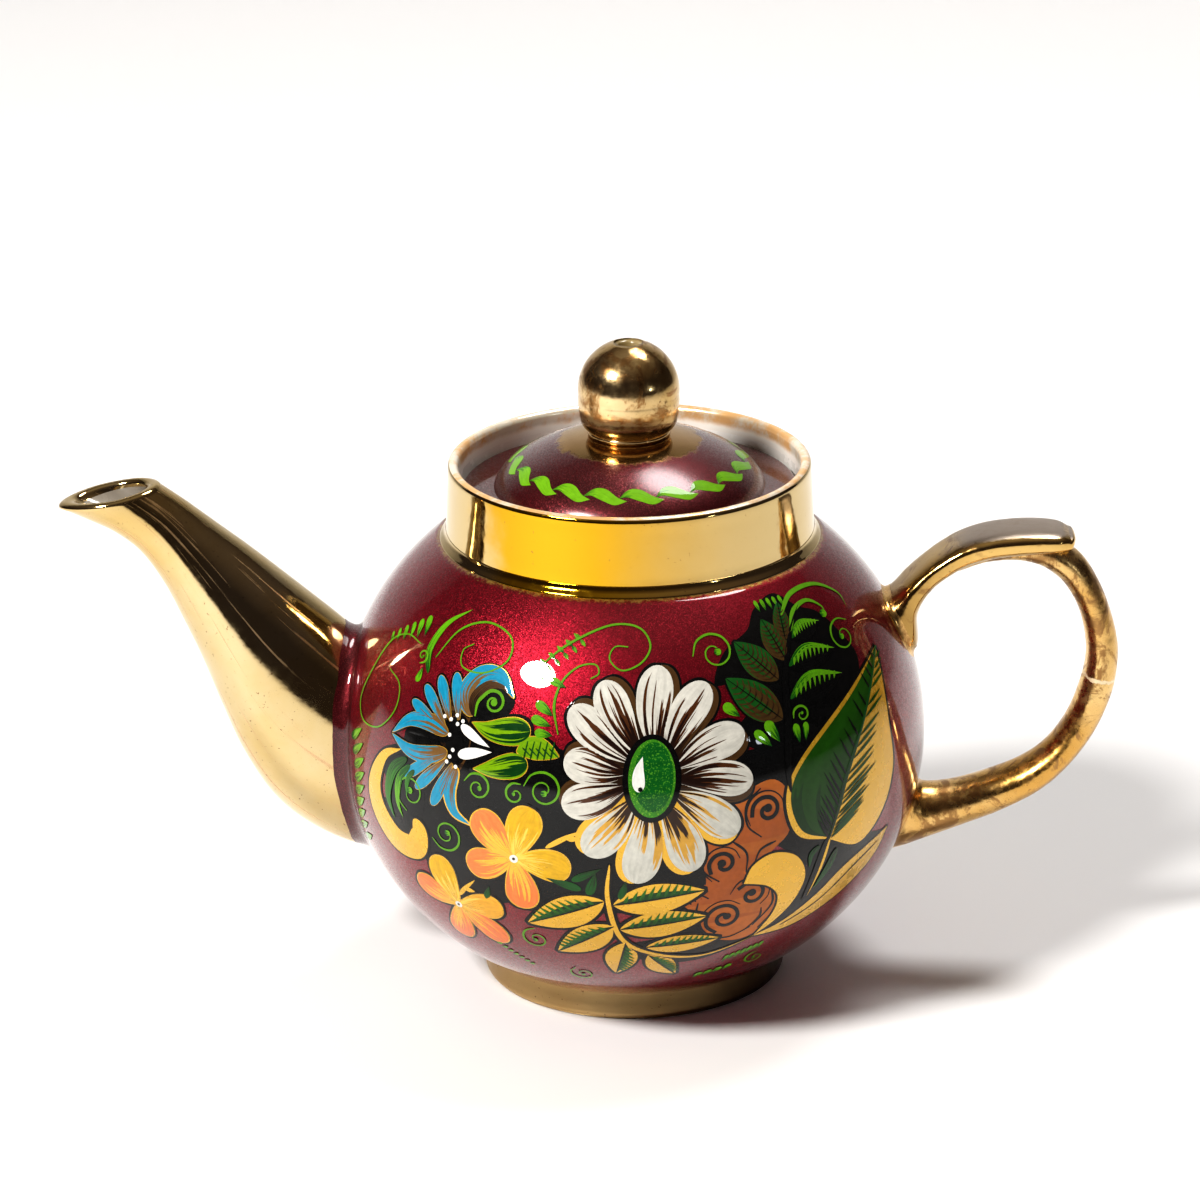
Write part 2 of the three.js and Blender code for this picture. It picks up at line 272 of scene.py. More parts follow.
class Look:
    """A node material round one Principled shader."""

    def __init__(self, name, **sockets):
        self.material = bpy.data.materials.new(name)
        self.material.use_nodes = True
        self.tree = self.material.node_tree
        self.shader = self.tree.nodes["Principled BSDF"]
        for socket, value in sockets.items():
            self.shader.inputs[socket.replace("_", " ")].default_value = value

    def node(self, kind, inputs=None, **settings):
        made = self.tree.nodes.new(kind)
        for key, value in settings.items():
            setattr(made, key, value)
        for key, value in (inputs or {}).items():
            self.feed(made.inputs[key], value)
        return made

    def feed(self, socket, value):
        if isinstance(value, bpy.types.NodeSocket):
            self.tree.links.new(value, socket)
        else:
            socket.default_value = value

    def set(self, socket, value):
        self.feed(self.shader.inputs[socket], value)

    def place(self):
        """The point on the piece, in metres."""
        return self.node("ShaderNodeTexCoord").outputs["Object"]

    def normal(self):
        return self.node("ShaderNodeNewGeometry").outputs["Normal"]

    def axes(self, vector=None):
        """The three parts of a vector, which is the point on the piece unless another is given."""
        return self.node("ShaderNodeSeparateXYZ", {"Vector": vector or self.place()}).outputs

    def uv(self):
        return self.axes(self.node("ShaderNodeUVMap").outputs["UV"])

    def math(self, operation, a, b=0.0):
        made = self.node("ShaderNodeMath", operation=operation)
        self.feed(made.inputs[0], a)
        self.feed(made.inputs[1], b)
        return made.outputs[0]

    def plus(self, a, b):
        return self.math("ADD", a, b)

    def minus(self, a, b):
        return self.math("SUBTRACT", a, b)

    def times(self, a, b):
        return self.math("MULTIPLY", a, b)

    def ragged(self, value, amount, scale, detail, rough):
        """value with up to amount of noise added, so that an edge read from it runs unevenly."""
        return self.plus(value, self.times(self.noise(scale, detail, rough), amount))

    def noise(self, scale, detail=3.0, rough=0.5, vector=None, distortion=0.0):
        inputs = {"Scale": scale, "Detail": detail, "Roughness": rough, "Distortion": distortion,
                  "Vector": vector or self.place()}
        return self.node("ShaderNodeTexNoise", inputs).outputs["Fac"]

    def range(self, value, low, high, to_low=0.0, to_high=1.0):
        made = self.node("ShaderNodeMapRange", interpolation_type="SMOOTHSTEP")
        for socket, given in zip(made.inputs, (value, low, high, to_low, to_high)):
            self.feed(socket, given)
        return made.outputs[0]

    def mix(self, share, a, b):
        made = self.node("ShaderNodeMix", data_type="RGBA")
        self.feed(made.inputs["Factor"], share)
        self.feed(made.inputs[6], (*a, 1) if isinstance(a, tuple) else a)
        self.feed(made.inputs[7], (*b, 1) if isinstance(b, tuple) else b)
        return made.outputs[2]

    def bump(self, height, strength, distance):
        inputs = {"Height": height, "Strength": strength, "Distance": distance}
        return self.node("ShaderNodeBump", inputs).outputs["Normal"]


# Tones of the lacquer: dark, light and single bright flakes.
BURGUNDY = ((0.115, 0.0016, 0.0075), (0.165, 0.0025, 0.011), (0.34, 0.012, 0.026))
# The same lacquer in darker tones, as painted shade, for the lid and the spout's seam.
SHADED_BURGUNDY = ((0.050, 0.0045, 0.0065), (0.080, 0.0060, 0.0085), (0.16, 0.020, 0.024))
FLAKES_PER_METRE = 6500.0
FLAKE_TILT = 0.28


def across(x):
    """Millimetres along X from the pot's axis, as metres in the row frame."""
    return (AXIS_X + x) * MM


def flake_colour(look, tones):
    """Two tones that drift into each other, a third on single flakes, and the flakes' own tilt."""
    low, high, spark = tones
    flakes = look.node("ShaderNodeTexVoronoi", {"Vector": look.place(), "Scale": FLAKES_PER_METRE})
    spread = look.node("ShaderNodeSeparateColor", {"Color": flakes.outputs["Color"]})
    cloud = look.range(look.noise(45.0, 4.0), 0.35, 0.7)
    body = look.mix(cloud, low, high)
    colour = look.mix(look.range(spread.outputs[0], 0.6, 1.0), body, spark)
    tilt = look.node("ShaderNodeVectorMath", {0: flakes.outputs["Color"], 1: (0.5, 0.5, 0.5)},
        operation="SUBTRACT")
    scaled = look.node("ShaderNodeVectorMath", {0: tilt.outputs[0], "Scale": FLAKE_TILT}, operation="SCALE")
    summed = look.node("ShaderNodeVectorMath", {0: look.normal(), 1: scaled.outputs[0]}, operation="ADD")
    return colour, look.node("ShaderNodeVectorMath", {0: summed.outputs[0]},
        operation="NORMALIZE").outputs[0]


def gold_colour(look, deep=(0.78, 0.50, 0.17), pale=(0.88, 0.69, 0.40)):
    """Lustre that is thicker and yellower in some places, paler in others."""
    cloud = look.range(look.noise(26.0, 5.0, 0.6), 0.35, 0.68)
    return look.mix(cloud, deep, pale)


def specks(look, scale, share):
    """1 in fine scattered specks and 0 elsewhere."""
    return look.range(look.noise(scale, 2.0, 0.7), 1 - share - 0.03, 1 - share + 0.03)


def lacquer_look(name, tones, gold_edge=False):
    """Flake lacquer under a clear coat. gold_edge dusts it with the collar's lustre along its top."""
    look = Look(name, Metallic=0.7, Coat_Weight=1.0, Coat_Roughness=0.02, Coat_IOR=1.5,
                Specular_IOR_Level=0.1)
    colour, normal = flake_colour(look, tones)
    if gold_edge:
        height = look.ragged(look.axes()[2], 0.0042, 900.0, 8.0, 0.85)
        gilt = look.range(height, (BOWL_TOP + 1.7) * MM, (BOWL_TOP + 2.5) * MM)
        colour = look.mix(gilt, colour, (0.36, 0.24, 0.06))
    look.set("Base Color", colour)
    look.set("Normal", normal)
    look.set("Roughness", look.range(look.noise(900.0, 3.0), 0.3, 0.7, 0.34, 0.44))
    look.set("Coat Normal", look.bump(look.noise(170.0, 2.0), 0.05, 0.00025))
    return look.material


def gold_look(name, ripple=0.10, roughness=(0.05, 0.11), tones=(), grime=0.0, extras=()):
    """Gold lustre. grime is how much of it has worn to a dull brown in blotches.

    Each extra takes the look, its colour and its roughness and returns the last two changed.
    """
    look = Look(name, Metallic=1.0)
    marks = specks(look, 1300.0, 0.30)
    colour = look.mix(marks, gold_colour(look, *tones), (0.20, 0.11, 0.05))
    fine = look.range(look.noise(420.0, 5.0, 0.65), 0.35, 0.75, *roughness)
    if grime:
        blotch = look.range(look.noise(110.0, 7.0, 0.72, distortion=1.2), 0.64 - grime, 0.74 - grime)
        colour = look.mix(blotch, colour, (0.36, 0.20, 0.075))
        fine = look.plus(fine, look.times(blotch, 0.10))
    for extra in extras:
        colour, fine = extra(look, colour, fine)
    look.set("Base Color", colour)
    look.set("Roughness", fine)
    look.set("Normal", look.bump(look.noise(130.0, 3.0, 0.55), ripple, 0.0006))
    return look.material


def brushed_lengthwise(look, colour, rough):
    """Faint reddish streaks that run along a tube, from its UV places."""
    place = look.uv()
    parts = {"X": look.times(place[0], 34.0), "Y": look.times(place[1], 2.2)}
    streak = look.noise(1.0, 3.0, 0.55, look.node("ShaderNodeCombineXYZ", parts).outputs[0])
    mask = look.range(streak, 0.57, 0.66)
    colour = look.mix(look.times(mask, 0.30), colour, (0.62, 0.30, 0.18))
    return colour, look.plus(rough, look.times(mask, 0.30))


def painted_reflection_on_top(look, colour, rough):
    """Painted reflection: the flat top's colour turned to a dull grey-brown, with rougher lustre there."""
    tilt = look.ragged(look.axes(look.normal())[2], 0.16, 150.0, 4.0, 0.6)
    mask = look.range(tilt, 0.86, 1.02)
    return look.mix(mask, colour, (0.40, 0.33, 0.27)), look.plus(rough, look.times(mask, 0.20))


def painted_shade_by_the_bowl(look, colour, rough):
    """Painted shade: the lustre's colour darkened to brown where the arm leaves the bowl."""
    along = look.ragged(look.axes()[0], 0.016, 90.0, 4.0, 0.6)
    mask = look.range(along, across(88), across(62))
    return look.mix(look.times(mask, 0.7), colour, (0.22, 0.13, 0.045)), rough


def crack_across(look, colour, rough):
    """A thin pale line right round the loop, where its two lengths of clay were joined."""
    x, _, z = look.axes()
    slope = look.times(look.minus(x, across(CRACK[0])), 0.22)
    height = look.ragged(look.plus(z, slope), 0.0022, 300.0, 3.0, 0.6)
    off = look.math("ABSOLUTE", look.minus(height, CRACK[1] * MM))
    mask = look.range(off, 0.00042, 0.00022)
    beyond = look.range(x, across(92), across(94))
    mask = look.times(mask, beyond)
    return look.mix(mask, colour, (0.95, 0.80, 0.55)), look.plus(rough, look.times(mask, 0.3))


def painted_shade_right(look, colour, rough):
    """Painted shade: the lustre's colour darkened along the side away from the spout."""
    mask = look.range(look.axes()[0], across(-14), across(26))
    return look.mix(mask, colour, (0.060, 0.036, 0.018)), rough


def collar_look():
    """Gold with a painted reflection: deep yellow over the collar's front left, paler towards both sides."""
    look = Look("collar_gold", Metallic=1.0)
    along = look.ragged(look.axes()[0], 0.020, 30.0, 5.0, 0.6)
    left = look.range(along, across(-24), across(-17))
    right = look.range(along, across(44), across(2))
    # Painted reflection: the yellow is strongest between these two edges.
    yellow_reflection = look.times(left, right)
    colour = look.mix(yellow_reflection, (0.65, 0.50, 0.25), (0.61, 0.345, 0.018))
    look.set("Base Color", look.mix(specks(look, 1300.0, 0.27), colour, (0.30, 0.16, 0.05)))
    look.set("Roughness", look.range(look.noise(420.0, 5.0, 0.65), 0.35, 0.75, 0.05, 0.13))
    look.set("Normal", look.bump(look.noise(130.0, 3.0, 0.55), 0.12, 0.0006))
    return look.material


def dome_look():
    """Lacquer with gold lustre run down over it from the knob to a ragged edge."""
    look = Look("dome_lacquer_and_gold", Coat_Roughness=0.20, Coat_IOR=1.5, Specular_IOR_Level=0.1)
    x, y, _ = look.axes()
    squares = look.plus(look.math("POWER", look.minus(x, across(0)), 2.0), look.math("POWER", y, 2.0))
    radius = look.math("SQRT", squares)
    edge = look.minus(radius, look.times(look.noise(260.0, 6.0, 0.75), 0.006))
    gilt = look.range(edge, 13.3 * MM, 11.8 * MM)
    # Painted shade: the dome's lacquer takes the darker tones.
    colour, normal = flake_colour(look, SHADED_BURGUNDY)
    thin = gold_colour(look, (0.34, 0.19, 0.06), (0.52, 0.34, 0.14))
    look.set("Base Color", look.mix(gilt, colour, thin))
    look.set("Metallic", look.range(gilt, 0.0, 1.0, 0.7, 1.0))
    look.set("Roughness", look.range(gilt, 0.0, 1.0, 0.36, 0.16))
    look.set("Coat Weight", look.range(gilt, 0.0, 1.0, 1.0, 0.0))
    mixed = look.node("ShaderNodeMix", data_type="VECTOR")
    look.feed(mixed.inputs["Factor"], gilt)
    look.feed(mixed.inputs[4], normal)
    look.feed(mixed.inputs[5], look.normal())
    look.set("Normal", mixed.outputs[1])
    return look.material


def glaze_look(name="white_glaze", tint=(0.83, 0.79, 0.72), pale=(0.88, 0.86, 0.81)):
    look = Look(name, Coat_Weight=0.8, Coat_Roughness=0.03)
    look.set("Base Color", look.mix(look.range(look.noise(55.0, 5.0), 0.35, 0.65), tint, pale))
    look.set("Roughness", look.range(look.noise(300.0, 4.0), 0.3, 0.7, 0.16, 0.30))
    look.set("Normal", look.bump(look.noise(120.0, 2.0), 0.06, 0.0004))
    return look.material


def bisque_look():
    look = Look("bare_bisque")
    grain = look.noise(1500.0, 4.0, 0.7)
    look.set("Base Color", look.mix(look.range(grain, 0.3, 0.7), (0.62, 0.55, 0.45), (0.80, 0.76, 0.68)))
    look.set("Roughness", look.range(grain, 0.3, 0.7, 0.65, 0.85))
    look.set("Normal", look.bump(grain, 0.35, 0.0001))
    return look.material


def rim_look():
    """The lip: gold worn through to a pale line, with an orange edge where it thins inside."""
    look = Look("worn_gold_lip")
    height = look.ragged(look.axes()[2], 0.0016, 140.0, 5.0, 0.7)
    inner = look.range(height, (RIM - 3.0) * MM, (RIM - 1.1) * MM)
    worn = look.range(look.noise(90.0, 5.0, 0.7), 0.42, 0.60)
    lustre = look.mix(worn, (0.84, 0.50, 0.22), (0.88, 0.80, 0.66))
    look.set("Base Color", look.mix(inner, (0.85, 0.81, 0.74), lustre))
    look.set("Metallic", look.range(inner, 0.0, 1.0, 0.0, 0.40))
    look.set("Roughness", look.range(look.noise(500.0, 4.0), 0.3, 0.7, 0.12, 0.26))
    look.set("Normal", look.bump(look.noise(150.0, 3.0), 0.08, 0.0005))
    return look.material


def enamel_look(name, tip, base, reach=0.0, lines=16.0, deep=None, speckle=0.0):
    """Brushed enamel under varnish.

    Streaks of base run up from the stroke's start, past reach as a share of its length, and streaks of
    deep run less far over them. lines is how many streaks lie side by side. speckle scatters dots of base.
    """
    look = Look(name, Coat_Weight=0.9, Coat_Roughness=0.02, Coat_IOR=1.37, Specular_IOR_Level=0.05)
    length, breadth, _ = look.uv()
    seed = look.node("ShaderNodeAttribute", attribute_name="seed").outputs["Fac"]

    def streaks(count, along, detail):
        parts = {"X": look.times(breadth, count), "Y": look.times(length, along), "Z": seed}
        vector = look.node("ShaderNodeCombineXYZ", parts).outputs[0]
        return look.noise(1.0, detail, 0.6, vector)

    brush = streaks(lines * 1.1, 2.6, 6.0)
    shade = look.mix(look.range(brush, 0.3, 0.7), tuple(c * 0.80 for c in tip), tip)
    if reach:
        jag = look.times(look.range(streaks(lines, 0.3, 2.0), 0.32, 0.70), reach * 1.7)
        covered = look.range(look.minus(jag, length), -0.02, 0.025)
        shade = look.mix(covered, shade, base)
        if deep:
            core = look.range(look.minus(look.times(jag, 0.62), length), -0.02, 0.025)
            shade = look.mix(core, shade, deep)
    if speckle:
        dots = look.range(look.noise(2600.0, 2.0, 0.6), 0.60 - speckle, 0.66 - speckle)
        shade = look.mix(dots, shade, base)
    fine = look.noise(700.0, 4.0, 0.6)
    wear = look.range(fine, 0.25, 0.75, 0.84, 1.0)
    tone = look.node("ShaderNodeHueSaturation", {"Color": shade, "Value": wear})
    look.set("Base Color", tone.outputs[0])
    look.set("Roughness", look.range(fine, 0.3, 0.7, 0.28, 0.45))
    look.set("Normal", look.bump(brush, 0.30, 0.00012))
    return look.material


def gilt_paint_look(name, base, ripple=0.15):
    """Gold painted flat on the lacquer: pale metallic with fine brush marks."""
    look = Look(name, Metallic=0.45, Coat_Weight=0.8, Coat_Roughness=0.03, Coat_IOR=1.33)
    marks = look.noise(260.0, 4.0, 0.6)
    colour = look.mix(look.range(marks, 0.35, 0.7), tuple(c * 0.92 for c in base), base)
    look.set("Base Color", look.mix(specks(look, 1100.0, 0.20), colour, (0.35, 0.20, 0.06)))
    look.set("Roughness", look.range(marks, 0.3, 0.7, 0.20, 0.34))
    look.set("Normal", look.bump(marks, ripple, 0.0002))
    return look.material


CRACK = (104.0, 68.6)  # where the loop's joint line crosses its middle, as (x, z)

LACQUER = lacquer_look("burgundy_flake_lacquer", BURGUNDY, gold_edge=True)
SHADED_LACQUER = lacquer_look("maroon_flake_lacquer", SHADED_BURGUNDY)
SPOUT_GOLD = gold_look("spout_gold", 0.10, (0.06, 0.13), ((0.57, 0.41, 0.17), (0.62, 0.50, 0.29)),
    extras=[brushed_lengthwise])
COLLAR_GOLD = collar_look()
# Painted shade: the foot's gold is darker than the other golds, and darker still on its right side.
SHADED_FOOT_GOLD = gold_look("foot_gold", 0.12, (0.30, 0.42), ((0.40, 0.26, 0.11), (0.54, 0.38, 0.18)), 0.02,
    [painted_shade_right])
# The handle's gold carries painted shade near the bowl and a painted reflection on its top.
HANDLE_GOLD = gold_look("handle_gold", 0.28, (0.10, 0.20), ((0.58, 0.34, 0.08), (0.70, 0.47, 0.17)), 0.08,
    [painted_shade_by_the_bowl, painted_reflection_on_top])
LOOP_GOLD = gold_look("loop_gold", 0.75, (0.20, 0.36), ((0.60, 0.34, 0.09), (0.80, 0.56, 0.25)), 0.15,
    [crack_across])
KNOB_GOLD = gold_look("knob_gold", 0.30, (0.10, 0.24), ((0.56, 0.37, 0.13), (0.72, 0.54, 0.30)), 0.15)
DOME = dome_look()
GLAZE = glaze_look()
# Painted shade: dark glaze for inside the spout's bore.
SHADED_SPOUT_GLAZE = glaze_look("spout_glaze", (0.24, 0.21, 0.17), (0.38, 0.34, 0.29))
# Painted shade: dark glaze for inside the vent's hole.
SHADED_VENT_GLAZE = glaze_look("vent_glaze", (0.20, 0.14, 0.05), (0.34, 0.26, 0.13))
BISQUE = bisque_look()
LIP = rim_look()

# Tip and base colour, then where needed the base streaks' reach, their number and a deep colour.
PAINTS = {
    "black": ((0.004, 0.004, 0.004), (0.02, 0.015, 0.01)),
    "brown": ((0.075, 0.036, 0.012), (0.02, 0.01, 0.005), 0.5),
    "white": ((0.64, 0.62, 0.55), (0.070, 0.024, 0.008), 0.54, 8.0, (0.015, 0.006, 0.004)),
    "white_on_gold": ((0.62, 0.61, 0.54), (0.60, 0.33, 0.05), 0.54, 7.0, (0.03, 0.013, 0.006)),
    "plain_white": ((0.84, 0.83, 0.78), (0.8, 0.8, 0.75)),
    "blue": ((0.012, 0.255, 0.41), (0.16, 0.085, 0.028), 0.42, 7.0),
    "orange": ((0.88, 0.22, 0.055), (0.88, 0.43, 0.05), 0.50, 10.0),
    "yellow": ((0.70, 0.40, 0.008), (0.86, 0.55, 0.09), 0.42, 10.0),
    "ochre": ((0.82, 0.40, 0.03), (0.84, 0.54, 0.10), 0.36, 10.0),
    "rust": ((0.50, 0.135, 0.014), (0.40, 0.095, 0.010), 0.6, 5.0),
    "sepal": ((0.004, 0.045, 0.006), (0.17, 0.33, 0.004), 0.62, 8.0),
    "lime": ((0.17, 0.33, 0.004), (0.13, 0.28, 0.004), 0.3, 8.0),
    "leaf": ((0.12, 0.36, 0.008), (0.006, 0.07, 0.006), 0.46, 9.0),
    "deep_green": ((0.008, 0.085, 0.010), (0.01, 0.03, 0.006), 0.5, 12.0),
    "mid_green": ((0.03, 0.16, 0.010), (0.01, 0.05, 0.006), 0.4, 12.0),
    "dark_leaf": ((0.010, 0.085, 0.012), (0.062, 0.034, 0.010), 0.52, 9.0),
    "big_leaf": ((0.014, 0.080, 0.003), (0.006, 0.042, 0.003), 0.35, 3.0),
    "lid_leaf": ((0.16, 0.40, 0.010), (0.04, 0.16, 0.006), 0.2, 10.0),
    "line": ((0.11, 0.31, 0.010), (0.08, 0.2, 0.01)),
}
ENAMEL = {name: enamel_look(f"enamel_{name}", *paint) for name, paint in PAINTS.items()}
ENAMEL["eye"] = enamel_look("enamel_eye", (0.005, 0.10, 0.012), (0.07, 0.26, 0.02), speckle=0.03)
ENAMEL["eye_rim"] = enamel_look("enamel_eye_rim", (0.045, 0.22, 0.015), (0.16, 0.36, 0.03), speckle=0.03)
ENAMEL["gilt"] = gilt_paint_look("painted_gold", (0.71, 0.405, 0.030))


# ---------------------------------------------------------------- turned pieces

def make_bowl():
    floor = FOOT_TOP + WALL
    outside, inside = 0, 1
    outline = [(0, FOOT_TOP, 0, inside), (FOOT_R - STANDING_WIDTH, FOOT_TOP, 0, inside)]
    outline += bowl_arc(FOOT_TOP, BOWL_TOP, 0, outside, 90)
    outline += [(THROAT_R, BOWL_TOP, 0, inside), (THROAT_R, BOWL_TOP - 1.4, 0.5, inside)]
    outline += bowl_arc(BOWL_TOP - WALL, floor + 2, -WALL, inside, 70)
    outline += [(26, floor, 3, inside), (0, floor, 0, inside)]
    bowl = turned("bowl_shell", rounded(outline), [LACQUER, GLAZE], "pot", ["bowl"], "lacquered_porcelain")
    drill_strainer(bowl)


def drill_strainer(bowl):
    """Seven holes through the wall behind the spout: one in the middle of six."""
    spots = [(0.0, 0.0)] + [polar(0, 0, 60 * i + 30, STRAINER_RING_R) for i in range(6)]
    drills = Shape()
    for y, z in spots:
        rows = []
        for x in (-BOWL_R - 6, -BOWL_R + 12):
            hole = circle(y, STRAINER_HEIGHT + z, STRAINER_HOLE_R, count=24)
            rows.append([drills.add((x, *p)) for p in hole])
        drills.grid(rows, closed=True)
        drills.faces += [rows[0][::-1], rows[1]]
        drills.finishes += [0, 0]
    tool = drills.build("strainer_drills", [GLAZE], "pot")
    cut = bowl.modifiers.new("strainer", "BOOLEAN")
    cut.operation = "DIFFERENCE"
    cut.solver = "EXACT"
    cut.object = tool
    bpy.context.view_layer.update()
    graph = bpy.context.evaluated_depsgraph_get()
    done = bpy.data.meshes.new_from_object(bowl.evaluated_get(graph))
    bowl.modifiers.clear()
    bowl.data = done
    bpy.data.objects.remove(tool)


def make_foot():
    inner = FOOT_R - STANDING_WIDTH
    gold, bare = 0, 1
    outline = [(inner, FOOT_TOP + 0.3, 0, bare), (inner + 1.2, 0.8, 0.6, bare), (inner + 1.9, 0, 0.5, bare),
               (FOOT_R - 0.8, 0, 0.6, gold), (FOOT_R, 0.9, 0.7, gold), (FOOT_R - 0.9, 4.6, 1.2, gold),
               (FOOT_R - 1.3, FOOT_TOP + 0.4, 0, gold)]
    turned("foot_gilt", rounded(outline), [SHADED_FOOT_GOLD, BISQUE], "pot", ["foot_ring"], "gilt_porcelain")


def make_collar():
    """A drum with a small outward cove at its base and a rounded lip."""
    gold, lip, white = 0, 1, 2
    lip_r = (COLLAR_INSIDE + COLLAR_R) / 2
    half = (COLLAR_R - COLLAR_INSIDE) / 2
    outline = [(COLLAR_BASE_R - 0.6, COLLAR_BOTTOM - 1.2, 0, gold),
               (COLLAR_BASE_R, COLLAR_BOTTOM + 0.1, 0.5, gold),
               (COLLAR_BASE_R - 1.4, COLLAR_BOTTOM + 1.6, 0.9, gold),
               (COLLAR_R + 0.6, COLLAR_BOTTOM + 3.4, 1.2, gold),
               (COLLAR_R + 0.05, RIM - 3.4, 1.0, gold)]
    outline += arc(lip_r, RIM - half, half, 0, 30, 2, gold)
    outline += arc(lip_r, RIM - half, half, 45, 180, 9, lip)
    outline += [(COLLAR_INSIDE, RIM - 4.6, 0, white), (COLLAR_INSIDE, COLLAR_BOTTOM, 0, white)]
    turned("collar_gilt", rounded(outline), [COLLAR_GOLD, LIP, GLAZE], "pot", ["neck_collar"],
        "gilt_porcelain")


def make_ledge():
    outline = [(THROAT_R, BOWL_TOP, 0, 0), (THROAT_R, LEDGE_TOP, 0.8, 0), (LEDGE_R + 0.25, LEDGE_TOP, 0, 0)]
    turned("seat_ledge_glazed", rounded(outline), [GLAZE], "pot", ["seat_ledge"], "white_glaze")


def make_flange():
    lacquer, white = 0, 1
    outline = [(SKIRT_R - 0.4, LEDGE_TOP, 0, white), (FLANGE_R, LEDGE_TOP, 0.6, lacquer),
               (FLANGE_R, FLANGE_TOP, 0.8, lacquer), (DOME_R - 1.0, FLANGE_TOP, 0, lacquer)]
    turned("lid_flange_lacquered", rounded(outline), [SHADED_LACQUER, GLAZE], "lid", ["lid_flange"],
        "lacquered_porcelain")


def make_skirt():
    inner = SKIRT_R - SKIRT_WALL
    outline = [(inner, LEDGE_TOP + 0.2, 0, 0), (inner, SKIRT_BOTTOM, 0.8, 0),
               (SKIRT_R - 0.6, SKIRT_BOTTOM, 0.8, 0), (SKIRT_R, SKIRT_BOTTOM + 1.5, 0.8, 0),
               (SKIRT_R, LEDGE_TOP + 0.2, 0, 0)]
    turned("lid_skirt_glazed", rounded(outline), [GLAZE], "lid", ["lid_skirt"], "white_glaze")


DOME_LINE = spline([(DOME_R + 0.05, FLANGE_TOP), (DOME_R - 0.45, FLANGE_TOP + 1.4),
    (DOME_R - 1.8, FLANGE_TOP + 3.3), (DOME_R - 4.2, FLANGE_TOP + 5.4), (DOME_R - 7.6, FLANGE_TOP + 7.4),
    (DOME_R - 11.8, FLANGE_TOP + 9.3), (DOME_R - 16.0, FLANGE_TOP + 10.7),
    (BEAD_R + 0.6, DOME_TOP - 0.05), (BEAD_R - 1.5, DOME_TOP)], 8)


def make_dome():
    outside, white = 0, 1
    under = DOME_TOP - DOME_WALL
    outline = [(p.x, p.y, 0, outside) for p in DOME_LINE]
    outline += [(VENT_R, DOME_TOP, 0, outside), (VENT_R, under, 0.6, white), (BEAD_R, under, 0, white)]
    inside = spline([(DOME_R - 16.6, FLANGE_TOP + 7.9), (DOME_R - 12.8, FLANGE_TOP + 6.4),
        (DOME_R - 9.2, FLANGE_TOP + 4.6), (DOME_R - 6.4, FLANGE_TOP + 2.8), (DOME_R - 4.0, FLANGE_TOP),
        (SKIRT_R - 2.7, LEDGE_TOP)], 6)
    outline += [(p.x, p.y, 0, white) for p in inside]
    turned("lid_dome_shell", rounded(outline), [DOME, GLAZE], "lid", ["lid_dome"], "lacquered_porcelain")


def make_bead():
    round_r = (BEAD_TOP - DOME_TOP) / 2
    outline = [(VENT_R + 2, DOME_TOP - 0.2, 0, 0)]
    outline += arc(BEAD_R - round_r, DOME_TOP + round_r, round_r, -90, 90, 12)
    outline.append((VENT_R + 2, BEAD_TOP, 0, 0))
    turned("knob_bead_gilt", rounded(outline), [KNOB_GOLD], "lid", ["knob_bead"], "gilt_porcelain", 128)


def make_knob():
    """A coved foot, a nearly upright side and a ball of a top round the bare mouth of the vent."""
    centre = KNOB_TOP - KNOB_R - 0.05
    gold, rim, vent = 0, 1, 2
    ball = arc(0, centre, KNOB_R, -6, 74, 28, gold)
    foot = [(BEAD_R - 0.8, BEAD_TOP - 0.3), (BEAD_R - 0.3, BEAD_TOP + 0.05), (BEAD_R + 0.7, BEAD_TOP + 0.6),
            (BEAD_R + 1.45, BEAD_TOP + 2.0), (KNOB_R - 0.16, BEAD_TOP + 4.2), (KNOB_R, BEAD_TOP + 6.6),
            ball[0][:2]]
    outline = [(p.x, p.y, 0, gold) for p in spline(foot, 6)] + ball[1:]
    lip_z = centre + math.sqrt(KNOB_R ** 2 - VENT_LIP_R ** 2)
    outline += [(VENT_LIP_R, lip_z, 0, rim), (VENT_LIP_R - 0.5, lip_z - 0.1, 0.3, vent),
                (VENT_R + 0.3, lip_z - 0.35, 0.4, vent), (VENT_R, lip_z - 1.4, 0.3, vent),
                (VENT_R, BEAD_TOP - 4, 0, vent)]
    turned("lid_knob_gilt", rounded(outline), [KNOB_GOLD, GLAZE, SHADED_VENT_GLAZE], "lid", ["lid_knob"],
           "gilt_porcelain", 128)


# ---------------------------------------------------------------- spout and handle

ROOT_DEPTH = 1.2  # how far the tubes reach into the bowl's wall
# Stations along each tube: upper edge, lower edge, half width across. Each edge is (way out, height),
# with the way out counted from the pot's axis.
SPOUT = [((48, 69.5), (48, 28.5), 17), ((60, 79.2), (61, 29.8), 17), ((66, 84.6), (71.5, 34.6), 16.6),
    ((72.7, 90.4), (80, 42), 15.8), ((79, 95.8), (86.5, 52.8), 14.6), ((84.5, 100.4), (91, 64), 13),
    ((89.3, 104.2), (95, 75), 11.4), ((93.8, 107.8), (99.1, 84.7), 9.9),
    ((97.6, 110.8), (102.8, 92.6), 8.7), ((101.2, 113.4), (107.5, 99.7), 8),
    ((104.8, 116), (113, 104.3), 7.8), ((108.6, 119), (118.6, 107.2), 8),
    ((113, 123), (124.8, 109.9), 8), ((117, 128), (131, 111.6), 8)]
THUMB_REST_END = 0.985  # the share of the strap's length where its end starts to round over
TIP_LENGTH = 1.5  # of that rounded end
MOUTH_TIP = (125.4, 111.0)
MOUTH_BACK = (104.6, 115.0)
MOUTH_WAY = Vector((-0.19, 0, 0.98))  # the way the mouth faces
LIP_STEPS = 8
